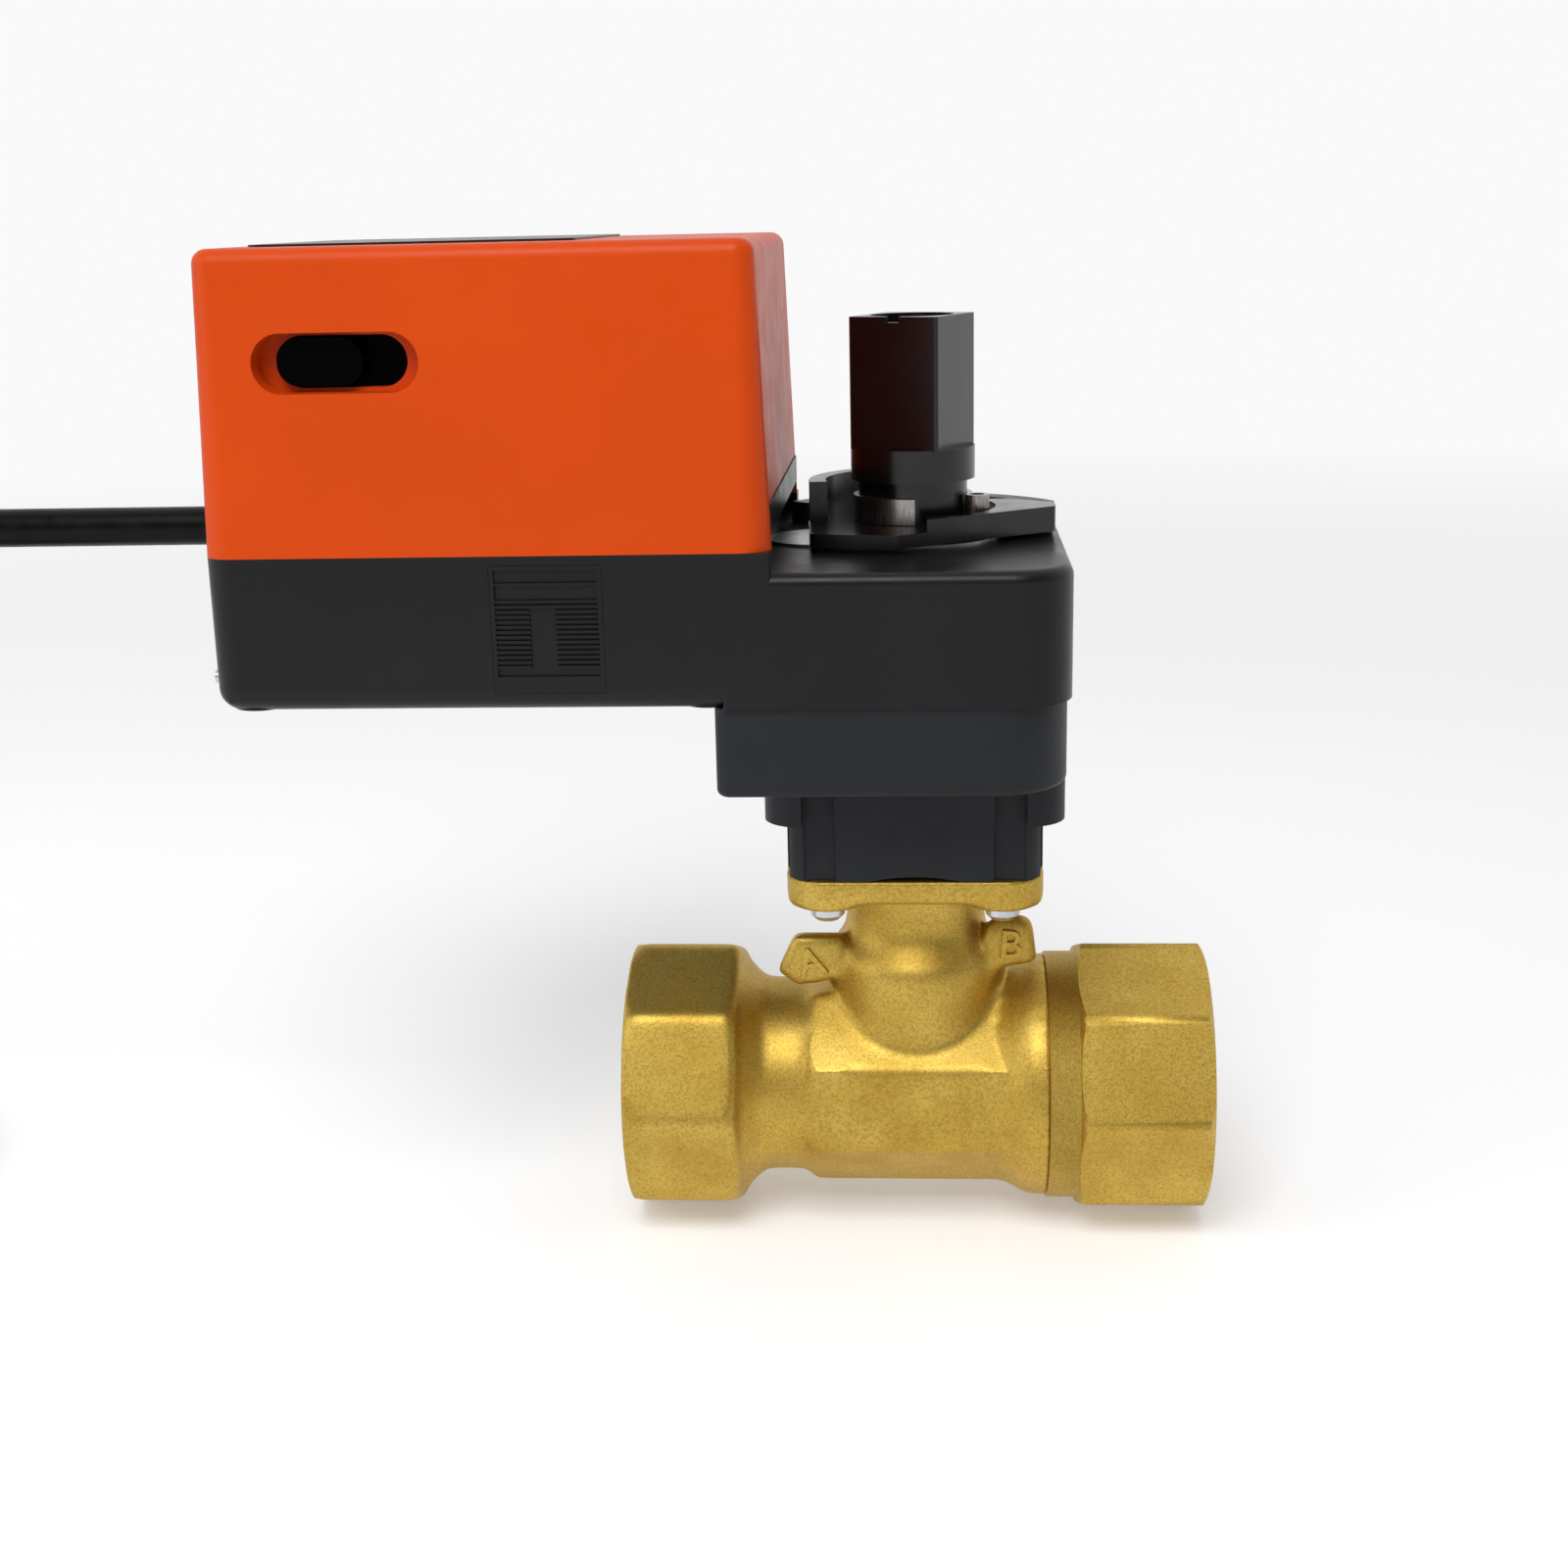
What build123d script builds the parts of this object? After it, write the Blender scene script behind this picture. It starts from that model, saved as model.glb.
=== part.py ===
"""Modulating control valve: a forged brass ball valve turned by a small geared rotary actuator.

Millimetres, +Z up along the valve stem. The origin is the centre of the ball, where the pipe axis (X) and
the stem axis (Z) meet. +Y points to the back. The valve is shown open, with the pointer along the pipe.
"""
from build123d import *
from math import acos, asin, cos, pi, radians, sin, sqrt, tan
import os

# Fits between pieces
PLAY = 0.3            # gap between pieces that move past each other
SLIP = 0.05           # gap of a sliding or pushed-in fit
RUNNING = 0.03        # radial gap of a shaft in its bearing
FAR = 200.0           # further out than any piece of the valve
EPS = 1.0             # how far a cutting tool reaches past the face that it cuts

# Valve, along the pipe axis
face_to_face = 87.0
hexagon_af = 39.0         # across the flats of both octagonal ends
end_a_length = 17.0
end_b_length = 19.4
collar_length = 4.4       # round collar of the screwed end, against the body's rim
barrel_af = 30.6          # octagonal middle of the body, a flat on top
barrel_left = -16.0
rim_radius = 18.5
flare_length = 10.6
collar_radius = 18.8
waist_radius = 14.8       # round waist between the octagonal end and the middle
thread_radius = 15.145    # crests of the 1 inch internal pipe thread
thread_depth = 17.0
throat_radius = 9.0
nose_radius = 14.2        # outside thread of the screwed end

# Ball, seats and flow plate
ball_radius = 13.0
ball_bore_radius = 7.5
seat_bore_radius = 8.0
seat_front = 7.4
chamber_radius = 13.4
flow_plate_thickness = 1.0
v_mouth = 5.2             # half the height of the V-shaped opening at its wide end
v_reach = 6.6             # how far the V reaches to each side
slot_width = 6.0
slot_floor = 9.5

# Stem
stem_radius = 4.5
stem_square = 6.4
shoulder_radius = 6.2
shoulder_height = 2.0
washer_thickness = 0.8
ring_section = 1.2        # section of the rubber rings
stem_ring_pitch = 4.0
first_ring_z = 21.0
socket_radius = 7.2
socket_height = 15.0
socket_depth = 11.0
spindle_square = 8.0

# Stem housing of the body
boss_radius = 13.3
boss_shoulder_z = 19.5
neck_radius = 10.4
neck_z = 26.5
flange_size = 37.2
flange_top = 36.8
flange_thickness = 3.8
ear_drop = 1.1
bolt_offset = 12.73       # fixing screws, from the stem axis along X and along Y
ear_radius = 5.87

# Black adapter between flange and actuator
lower_tier_size = 37.0
lower_tier_height = 8.9
upper_tier_size = 42.6
upper_tier_height = 7.3
adapter_bore_radius = 8.6
slot_at, slot_wide = 13.5, 4.6   # upright slots in the adapter's sides
upper_slot_depth, lower_slot_depth = 2.4, 0.9
screw_radius = 2.5
screw_head_radius = 4.25
screw_head_height = 4.6
screw_seat_z = 41.0
screw_tip_z = 29.5
adapter_screw_y = 14.5
small_screw_radius = 1.5
small_head_radius = 2.7
screw_boss_radius = 3.6
screw_boss_height = 14.0
head_sink = 2.2           # how deep the small screw heads are sunk
plate_screw_radius = 0.95
plate_screw_length = 6.0

# Bracket under the actuator
bracket_height = 12.4
bracket_left = -26.6
bracket_right = 21.0
bracket_wall = 2.5

# Actuator case
case_right = 21.5
deck_length = 40.0
case_width = 66.0
base_height = 21.0
cover_height = 40.0
cover_length = 76.0
cover_draft = 2.0         # degrees
case_wall = 2.0
floor_thickness = 2.5
deck_drop = 2.8           # the deck round the spindle lies this much below the split line
left_corner = 4.0
base_edge_radius = 3.0
right_corner = 8.0
bracket_corner = 10.0
cut_out_rise = 5.9        # the cover's right wall starts this much above the split line
corner_width = 4.2
ledge_depth = 2.7
ledge_thickness = 3.9

# Slot and slider in the cover's front
slot_inset = 8.9          # from the case's left end
slot_length = 22.1
slot_height = 7.8
slot_z = 111.7
slot_depth = 5.0
window_length = 17.4
window_height = 6.8
slider_travel = 5.4

# Bare label plate on the cover's roof
label_at, label_length, label_width, label_thickness = 28.5, 44.0, 46.0, 0.3

# Ribbed plate in the base's front
rib_plate_inset = 38.7
rib_plate_width = 15.0
rib_plate_low = 67.9
rib_plate_height = 17.2
rib_plate_frame = 0.6
rib_plate_sink = 0.5
rib_pitch = 0.68
rib_count = 14
full_ribs = 2             # the topmost ribs run across the gap
rib_gap = 3.4
rib_bar_drop = 2.3        # the single bar lies this much under the plate's top

# Gears
pressure_angle = radians(20)
addendum = 0.8
dedendum = 1.12
backlash = 0.12
sector_teeth, sector_module = 48, 1.0
wheel_3_teeth, pinion_3_teeth, wheel_3_module = 40, 12, 0.8
wheel_2_teeth, pinion_2_teeth, wheel_2_module = 36, 12, 0.6
motor_pinion_teeth = 12
direction_23 = radians(165)
direction_2m = radians(184)
sector_thickness = 5.0
wheel_3_thickness = 2.6
wheel_2_thickness = 2.4
gear_gap = 0.7            # between gears that pass over each other
gear_pin_radius = 1.0
gear_plate_thickness = 1.5
first_tooth, last_tooth = -3, 15

# Output
hub_radius = 9.5
bush_wall = 1.5
sleeve_neck_radius = 7.8
sleeve_collar_radius = 8.9
sleeve_head_radius = 9.3
sleeve_head_af = 13.6
sleeve_head_turn = -24.0  # degrees, how far the square head is turned from the pipe axis
sleeve_collar_rise = 8.5  # from the deck
sleeve_collar_height = 4.5
sleeve_head_height = 18.4
sleeve_mouth_radius = 5.9
mouth_over_spindle = 2.5
pointer_thickness = 1.9
pointer_arm_thickness = 3.6
clip_room = 11.9          # the raised arm keeps this far from the stem axis, clear of the clip
pointer_reach = 20.4
pointer_left = -14.2
pointer_front = -15.0
guard_radius = 15.0
guard_wall = 2.4
guard_rise = 8.4
clip_height = 3.6
clip_thickness = 0.7
thrust_plate_thickness = 0.4
scale_inner, scale_outer, scale_height = 21.0, 24.2, 3.2

# Motor, board and cable
motor_radius = 14.0
motor_height = 17.0
motor_shaft_radius = 1.0
board_thickness = 1.6
board_front, board_back = 10.0, 6.8   # from the case's front and back to the board
board_gap = 2.2           # between the motor's top and the board
cable_radius = 2.85
cable_length = 1000.0
core_radius = 0.75
gland_length = 8.0
gland_radius = 4.25
terminal_pitch = 5.0
terminal_height = 8.6

# Heights and places worked out from the sizes above
half_face = face_to_face / 2
end_a_inner = -half_face + end_a_length
end_b_inner = half_face - end_b_length
joint_x = end_b_inner - collar_length
flare_left = joint_x - flare_length
seat_back = ball_radius + PLAY
nose_tip = seat_back
octagon_radius = hexagon_af / 2 / cos(pi / 8)
barrel_radius = barrel_af / 2 / cos(pi / 8)
barrel_flat = barrel_af / 2
washer_z = ball_radius + PLAY + shoulder_height
recess_top = washer_z + washer_thickness
adapter_mid = flange_top + lower_tier_height
adapter_top = adapter_mid + upper_tier_height
base_bottom = adapter_top + bracket_height
floor_top = base_bottom + floor_thickness
split_z = base_bottom + base_height
cover_top = split_z + cover_height
deck_top = split_z - deck_drop
deck_under = deck_top - case_wall
cover_right = case_right - deck_length
case_left = cover_right - cover_length
bulkhead_x = cover_right - ledge_depth
slot_left = case_left + slot_inset
rib_plate_left = case_left + rib_plate_inset
half_width = case_width / 2
cut_out_half = half_width - corner_width
ledge_top = split_z + cut_out_rise
sector_z = floor_top + 1.6
wheel_3_z = sector_z + sector_thickness + gear_gap
wheel_2_z = wheel_3_z + wheel_3_thickness + gear_gap
gear_plate_z = wheel_2_z + wheel_2_thickness + 1.6
motor_z = gear_plate_z + gear_plate_thickness
board_z = motor_z + motor_height + board_gap
sleeve_collar_z = deck_top + sleeve_collar_rise
sleeve_flat_z = sleeve_collar_z + sleeve_collar_height
sleeve_top = sleeve_flat_z + sleeve_head_height
spindle_top = sleeve_top - mouth_over_spindle
guard_top = deck_top + guard_rise
pointer_z = deck_top + thrust_plate_thickness + PLAY
clip_z = pointer_z + pointer_thickness + 0.1
cable_z = split_z
terminal_x = case_left + 12.0

distance_3 = sector_module * (sector_teeth + pinion_3_teeth) / 2
distance_2 = wheel_3_module * (wheel_3_teeth + pinion_2_teeth) / 2
distance_m = wheel_2_module * (wheel_2_teeth + motor_pinion_teeth) / 2
gear_3_at = (-distance_3, 0.0)
gear_2_at = (gear_3_at[0] + distance_2 * cos(direction_23), distance_2 * sin(direction_23))
motor_at = (gear_2_at[0] + distance_m * cos(direction_2m), gear_2_at[1] + distance_m * sin(direction_2m))

case_screw_inset = 5.2
case_screws = [(case_left + case_screw_inset, side * (half_width - case_screw_inset)) for side in (-1, 1)]
case_screws += [(bulkhead_x - case_wall - 4.2, side * (half_width - case_screw_inset)) for side in (-1, 1)]
bracket_screws = [(x, side * (half_width - 6.5)) for x in (-18.0, 12.5) for side in (-1, 1)]
bolts = [(x, y) for x in (-bolt_offset, bolt_offset) for y in (-bolt_offset, bolt_offset)]


def save(shape, name):
    """Writes one piece, or one group of like pieces, as a STEP file named after its node."""
    export_step(shape, f"parts/{name}.step")


def rod(radius, z0, z1, at=(0, 0)):
    """An upright cylinder from height z0 to z1."""
    return Pos(at[0], at[1], z0) * extrude(Circle(radius), z1 - z0)


def pipe_rod(radius, x0, x1):
    """A cylinder along the pipe axis from x0 to x1."""
    return extrude(Plane.YZ.offset(x0) * Circle(radius), x1 - x0)


def tube(outer, inner, z0, z1, at=(0, 0)):
    """An upright tube."""
    return rod(outer, z0, z1, at) - rod(inner, z0 - EPS, z1 + EPS, at)


def block(x0, x1, y0, y1, z0, z1):
    """A box between two corners."""
    return Pos((x0 + x1) / 2, (y0 + y1) / 2, (z0 + z1) / 2) * Box(x1 - x0, y1 - y0, z1 - z0)


def plan(x0, x1, half_y, left_radius, right_radius):
    """A rectangle with rounded corners, seen from above."""
    outline = Pos((x0 + x1) / 2, 0) * Rectangle(x1 - x0, 2 * half_y)
    outline = fillet(outline.vertices().group_by(Axis.X)[0], left_radius)
    return fillet(outline.vertices().group_by(Axis.X)[-1], right_radius)


def square_post(size, z0, z1, turn=0.0):
    """An upright square bar on the stem axis."""
    return Pos(0, 0, z0) * extrude(Rot(0, 0, turn) * Rectangle(size, size), z1 - z0)


def ring_solid(outer, section, height):
    """A packing ring of square section round the stem axis."""
    return tube(outer, outer - section, height - section / 2, height + section / 2)


def turned_about_x(points):
    """A body turned about the pipe axis from (x, radius) points."""
    return revolve(make_face(Polyline(*[(x, r, 0) for x, r in points], close=True)), Axis.X)


def octagon_bar(radius, x0, x1, turn=0.0):
    """An octagonal bar along the pipe, with an edge on top unless it is turned."""
    return extrude(Plane.YZ.offset(x0) * Rot(0, 0, turn) * RegularPolygon(radius, 8), x1 - x0)


def end_bar(x0, x1):
    """One octagonal end, with its corners turned off at both faces, as a spanner flat is."""
    reach = octagon_radius + EPS
    flat = hexagon_af / 2
    turn_off = (reach - flat + 0.1) * tan(radians(30))
    cutter = turned_about_x([(x0, 0), (x0, flat - 0.1), (x0 + turn_off, reach),
                             (x1 - turn_off, reach), (x1, flat - 0.1), (x1, 0)])
    return octagon_bar(octagon_radius, x0, x1) & cutter


def stem_housing():
    """The bulge over the ball and the neck above it, turned about the stem axis."""
    flange_low = flange_top - flange_thickness
    with BuildLine() as side:
        Polyline((0, 0), (boss_radius, 0), (boss_radius, boss_shoulder_z))
        Spline((boss_radius, boss_shoulder_z), (boss_radius - 1.2, boss_shoulder_z + 2.8),
               (neck_radius, neck_z), tangents=((0, 1), (0, 1)))
        Line((neck_radius, neck_z), (neck_radius, flange_low - 1.5))
        Line((neck_radius, flange_low - 1.5), (neck_radius + 1.5, flange_low + 0.5))
        Polyline((neck_radius + 1.5, flange_low + 0.5), (0, flange_low + 0.5), (0, 0))
    return revolve(Plane.XZ * make_face(side.line), Axis.Z)


def top_flange():
    """The square flange with four thicker ears on its underside."""
    low = flange_top - flange_thickness
    outline = RectangleRounded(flange_size, flange_size, ear_radius - 0.01)
    plate = Pos(0, 0, low) * extrude(outline, flange_thickness)
    for at in bolts:
        plate += rod(ear_radius, low - ear_drop, flange_top, at)
    return plate


def port_lugs():
    """The two flat lugs beside the neck that carry the port letters."""
    lug_a = [(-10.5, 24.8), (-18.2, 24.8), (-20.9, 18.9), (-17.8, 16.6), (-13.4, 17.2), (-10.5, 19.0)]
    lug_b = [(10.0, 25.9), (12.2, 27.6), (16.4, 27.6), (17.4, 26.8), (18.2, 20.4), (13.2, 19.6), (10.0, 17.0)]
    lugs = []
    for points in (lug_a, lug_b):
        face = make_face(Polyline(*points, close=True))
        lugs.append(extrude(Plane.XZ.offset(7.6) * face, -3.4))
    return lugs


def rim_flare():
    """The smooth flare from the barrel out to the rim that meets the screwed end."""
    mid = joint_x - 0.45 * flare_length
    edge = Spline((flare_left, barrel_flat - 0.6), (mid, (barrel_flat + rim_radius) / 2 + 0.5),
                  (joint_x - 1.5, rim_radius), tangents=((1, 0), (1, 0)))
    rest = Polyline((joint_x - 1.5, rim_radius), (joint_x, rim_radius), (joint_x, 0), (flare_left, 0),
                    (flare_left, barrel_flat - 0.6))
    return revolve(make_face([edge, rest]), Axis.X)


def valve_body():
    """The forged body: octagonal end A, waist, barrel, rim, stem housing, lugs and flange."""
    body = end_bar(-half_face, end_a_inner)
    body += turned_about_x([(end_a_inner - 1.5, 0), (end_a_inner - 1.5, hexagon_af / 2 - 0.8),
                            (end_a_inner + 0.2, hexagon_af / 2 - 1.6), (end_a_inner + 3.2, waist_radius),
                            (barrel_left - 1.2, waist_radius), (barrel_left + 0.3, barrel_flat),
                            (barrel_left + 0.3, 0)])
    body += octagon_bar(barrel_radius, barrel_left, joint_x - 2.0, 22.5)
    body += rim_flare()
    for side in (-1, 1):
        body += block(end_a_inner - 1, barrel_left + 1, side * 12.0 - 1.2, side * 12.0 + 1.2, -8.4, -6.2)
    body += stem_housing()
    body += top_flange()
    for lug in port_lugs():
        body += lug
    body -= pipe_rod(thread_radius, -half_face - EPS, -half_face + thread_depth)
    body -= pipe_rod(throat_radius, -half_face, 0)
    plate_back = seat_back + flow_plate_thickness
    body -= pipe_rod(chamber_radius, -plate_back, joint_x + EPS)
    body -= pipe_rod(nose_radius + SLIP, nose_tip, joint_x + EPS)
    body -= rod(shoulder_radius + PLAY, 0, recess_top)
    body -= rod(stem_radius + RUNNING, 0, flange_top + EPS)
    for at in bolts:
        body -= rod(screw_radius + SLIP, 0, flange_top + EPS, at) & block(-FAR, FAR, -FAR, FAR,
                                                                          screw_tip_z - 0.9, FAR)
    return body


def end_connector():
    """The screwed end B: octagon, round collar and the threaded nose that holds the seats."""
    solid = end_bar(end_b_inner, half_face)
    solid += pipe_rod(collar_radius, joint_x, end_b_inner + 0.5)
    solid += pipe_rod(nose_radius, nose_tip, joint_x + 0.5)
    solid -= pipe_rod(thread_radius, half_face - thread_depth, half_face + EPS)
    solid -= pipe_rod(throat_radius, 0, half_face)
    groove = joint_x - 3.0
    solid -= (pipe_rod(nose_radius + EPS, groove - 0.8, groove + 0.8)
              - pipe_rod(nose_radius - ring_section, 0, joint_x))
    return solid


def joint_ring():
    """The rubber ring in the groove of the screwed end's nose."""
    middle = joint_x - 3.0
    ring = pipe_rod(nose_radius + 0.02, middle - ring_section / 2, middle + ring_section / 2)
    return ring - pipe_rod(nose_radius - ring_section + 0.02, 0, joint_x)


def ball():
    """The ball with its bore along the pipe and the slot for the stem across it."""
    solid = Sphere(ball_radius) - pipe_rod(ball_bore_radius, -ball_radius - EPS, ball_radius + EPS)
    return solid - block(-slot_width / 2, slot_width / 2, -ball_radius, ball_radius, slot_floor, ball_radius + EPS)


def seat(side):
    """One seat ring, hollowed to the ball. side is -1 at port A and 1 at port B."""
    reach = ball_radius + RUNNING
    x_at = lambda radius: sqrt(reach ** 2 - radius ** 2)
    outer, rim = chamber_radius - SLIP, sqrt(reach ** 2 - seat_front ** 2)
    middle = (seat_bore_radius + rim) / 2
    outline = [Polyline((x_at(seat_bore_radius), seat_bore_radius), (seat_back, seat_bore_radius), (seat_back, outer),
                        (seat_front, outer), (seat_front, rim)),
               ThreePointArc((seat_front, rim), (x_at(middle), middle), (x_at(seat_bore_radius), seat_bore_radius))]
    ring = revolve(make_face(outline), Axis.X)
    return ring if side > 0 else Rot(0, 0, 180) * ring


def flow_plate():
    """The thin plate at port A whose V-shaped opening sets the flow against the angle."""
    disc = pipe_rod(chamber_radius - SLIP, -seat_back - flow_plate_thickness, -seat_back)
    opening = make_face(Polyline((-v_reach, 0), (v_reach - 2, -v_mouth), (v_reach - 2, v_mouth), close=True))
    opening = fillet(opening.vertices(), 0.8)
    return disc - extrude(Plane.YZ.offset(-seat_back + EPS) * opening, -flow_plate_thickness - 2 * EPS)


def stem():
    """The stem: tang in the ball, shoulder, ring grooves and square top."""
    solid = block(-slot_width / 2 + 0.1, slot_width / 2 - 0.1, -stem_radius, stem_radius,
                  slot_floor + PLAY, ball_radius + PLAY)
    solid += rod(shoulder_radius, ball_radius + PLAY, washer_z)
    solid += rod(stem_radius, washer_z, flange_top + 0.4)
    solid += square_post(stem_square, flange_top, flange_top + socket_depth)
    for height in ring_heights():
        solid -= tube(stem_radius + EPS, stem_radius - ring_section, height - 0.75, height + 0.75)
    return solid


def ring_heights():
    """The heights of the two rubber rings on the stem."""
    return [first_ring_z, first_ring_z + stem_ring_pitch]


def spindle():
    """The steel spindle that drives the stem through a square socket and rises to the sleeve's mouth."""
    low = flange_top + 0.8
    solid = rod(socket_radius, low, low + socket_height)
    solid += square_post(spindle_square, low + socket_height, spindle_top)
    return solid - square_post(stem_square + 2 * SLIP, low - EPS, flange_top + socket_depth + 0.4)


def groove_cutters(size, depth, width, offsets, z0, z1):
    """Upright grooves in the four sides of a square tier, as boxes to cut away."""
    cutters = []
    for turn in (0, 90, 180, 270):
        for offset in offsets:
            x0 = offset - width / 2
            cutters.append(Rot(0, 0, turn) * block(x0, x0 + width, -size / 2 - EPS, -size / 2 + depth, z0, z1))
    return cutters


def adapter():
    """The black two-tier adapter that stands on the flange and carries the bracket."""
    lower = Pos(0, 0, flange_top) * extrude(RectangleRounded(lower_tier_size, lower_tier_size, 5.0),
                                            lower_tier_height)
    upper = Pos(0, 0, adapter_mid) * extrude(RectangleRounded(upper_tier_size, upper_tier_size, 5.5),
                                             upper_tier_height)
    solid = lower + upper
    places = (-slot_at, slot_at)
    cutters = groove_cutters(upper_tier_size, upper_slot_depth, slot_wide, places,
                             adapter_mid - EPS, adapter_top + EPS)
    cutters += groove_cutters(lower_tier_size, lower_slot_depth, slot_wide, places, flange_top - EPS, adapter_mid)
    for cutter in cutters:
        solid -= cutter
    arch = Plane.XZ.offset(-lower_tier_size) * (Pos(0, flange_top - 30.0) * Circle(30.7))
    solid -= extrude(arch, 2 * lower_tier_size) & block(-9, 9, -FAR, FAR, 0, adapter_mid)
    solid -= rod(adapter_bore_radius, flange_top - EPS, adapter_top + EPS)
    for at in bolts:
        solid -= rod(screw_radius + SLIP, flange_top - EPS, adapter_top, at)
        solid -= rod(screw_head_radius + PLAY, screw_seat_z, adapter_top + EPS, at)
    for side in (-1, 1):
        solid -= rod(small_screw_radius, adapter_top - 8.0, adapter_top + EPS, (0, side * adapter_screw_y))
    return solid


def cap_screw(at):
    """A socket screw that holds the adapter to the flange, its tip standing out below the ear."""
    solid = rod(screw_radius, screw_tip_z + 0.8, screw_seat_z, at)
    standing = (Align.CENTER, Align.CENTER, Align.MIN)
    solid += Pos(at[0], at[1], screw_tip_z) * Cone(screw_radius - 0.8, screw_radius, 0.8, align=standing)
    solid += rod(screw_head_radius, screw_seat_z, screw_seat_z + screw_head_height, at)
    socket = Pos(at[0], at[1], screw_seat_z + screw_head_height - 2.5) * extrude(RegularPolygon(2.3, 6), 3.5)
    return solid - socket


def bracket():
    """The open box under the actuator, with posts for the screws that reach up into the base."""
    outline = plan(bracket_left, bracket_right, half_width - 0.6, 2.0, bracket_corner)
    solid = Pos(0, 0, adapter_top) * extrude(outline, bracket_height)
    solid = fillet(solid.edges().group_by(Axis.Z)[0], 1.0)
    inner = plan(bracket_left + bracket_wall, bracket_right - bracket_wall, half_width - 0.6 - bracket_wall,
                 1.0, bracket_corner - bracket_wall)
    solid -= Pos(0, 0, adapter_top + bracket_wall) * extrude(inner, bracket_height)
    solid += rod(adapter_bore_radius + bracket_wall, adapter_top, base_bottom)
    for at in bracket_screws:
        solid += rod(screw_boss_radius, adapter_top, base_bottom, at)
    for side in (-1, 1):
        solid += block(-1, 1, min(side * 10, side * 30), max(side * 10, side * 30), adapter_top, base_bottom - 3.0)
    solid -= rod(adapter_bore_radius, adapter_top - EPS, base_bottom + EPS)
    for at in bracket_screws:
        solid -= rod(small_screw_radius + SLIP, adapter_top - EPS, base_bottom + EPS, at)
        solid -= rod(small_head_radius + PLAY, adapter_top - EPS, adapter_top + head_sink, at)
    for side in (-1, 1):
        solid -= rod(small_screw_radius + SLIP, adapter_top - EPS, base_bottom, (0, side * adapter_screw_y))
        solid -= rod(small_head_radius + PLAY, adapter_top + bracket_wall, base_bottom, (0, side * adapter_screw_y))
    return solid


def pan_screw(at, seat_height, length, shank=small_screw_radius, head=small_head_radius, head_height=1.9, up=True):
    """A small screw with its head under seat_height and its shank going up, or the other way round."""
    way = 1 if up else -1
    solid = rod(shank, min(seat_height, seat_height + way * length), max(seat_height, seat_height + way * length), at)
    head_end = seat_height - way * head_height
    return solid + rod(head, min(seat_height, head_end), max(seat_height, head_end), at)


def base_housing():
    """The black lower shell: tray, deck round the spindle, bulkhead, ledge, scale and bosses."""
    tray = Pos(0, 0, base_bottom) * extrude(plan(case_left, cover_right, half_width, left_corner, 0.5), base_height)
    tray = fillet(tray.edges().group_by(Axis.Z)[0].filter_by(lambda e: e.center().X < cover_right - 1),
                  base_edge_radius)
    deck = Pos(0, 0, base_bottom) * extrude(plan(bulkhead_x - 4, case_right, half_width, 0.5, right_corner),
                                            deck_top - base_bottom)
    deck = fillet(deck.edges().group_by(Axis.Z)[-1].filter_by(lambda e: e.center().X > bulkhead_x - 3), 1.6)
    shell = tray - block(bulkhead_x, cover_right + EPS, -cut_out_half, cut_out_half,
                         deck_top - 3, split_z + EPS) + deck
    shell += block(bulkhead_x - case_wall, bulkhead_x, -cut_out_half + 0.15, cut_out_half - 0.15,
                   deck_under, ledge_top)
    shell += block(bulkhead_x - case_wall, cover_right, -cut_out_half + 0.15, cut_out_half - 0.15,
                   ledge_top - ledge_thickness, ledge_top)
    inner_y = half_width - case_wall
    tray_room = plan(case_left + case_wall, bulkhead_x - case_wall, inner_y, left_corner - case_wall, 0.5)
    shell -= Pos(0, 0, floor_top) * extrude(tray_room, base_height)
    deck_room = plan(bulkhead_x - 3 * case_wall, case_right - case_wall, inner_y, 0.5, right_corner - case_wall)
    shell -= Pos(0, 0, floor_top) * extrude(deck_room, deck_under - floor_top)
    shell += scale_sector()
    bush_radius = hub_radius + RUNNING + bush_wall
    shell += tube(bush_radius + 2.0, bush_radius, base_bottom, sector_z - PLAY)
    shell += tube(bush_radius + 2.0, bush_radius, deck_under - 2.0, deck_top)
    shell -= rod(bush_radius + SLIP, base_bottom - EPS, deck_top + EPS)
    for at, height in ((gear_3_at, sector_z), (gear_2_at, wheel_3_z)):
        shell += rod(2.4, base_bottom, height - 0.2, at)
        shell -= rod(gear_pin_radius + SLIP, base_bottom + 1.0, height + EPS, at)
    for at in case_screws:
        shell += rod(screw_boss_radius, base_bottom, split_z, at) & tray_block()
        shell -= rod(small_screw_radius + SLIP, base_bottom - EPS, split_z + EPS, at)
        shell -= rod(small_head_radius + PLAY, base_bottom - EPS, base_bottom + head_sink, at)
    for at in bracket_screws:
        shell += rod(screw_boss_radius, base_bottom, base_bottom + 7.0, at)
        shell -= rod(small_screw_radius, base_bottom - EPS, base_bottom + 6.0, at)
    for at in end_stops():
        shell += rod(2.0, base_bottom, deck_under + 0.5, at)
    for at in plate_posts():
        shell += rod(2.4, base_bottom, gear_plate_z, at)
        shell -= rod(plate_screw_radius, gear_plate_z - 6.0, gear_plate_z + EPS, at)
    shell -= end_pin()
    shell -= rib_plate_block(SLIP)
    shell -= gland_hole()
    return shell


def gland_hole():
    """The hole in the case's left end that holds the cable's soft bush."""
    return extrude(Plane.YZ.offset(case_left - EPS) * Pos(0, cable_z) * Circle(gland_radius + SLIP), gland_length)


def tray_block():
    """The room that the base's own pieces have to stay in."""
    return Pos(0, 0, base_bottom) * extrude(plan(case_left, cover_right, half_width, left_corner, 0.5), base_height)


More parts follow.
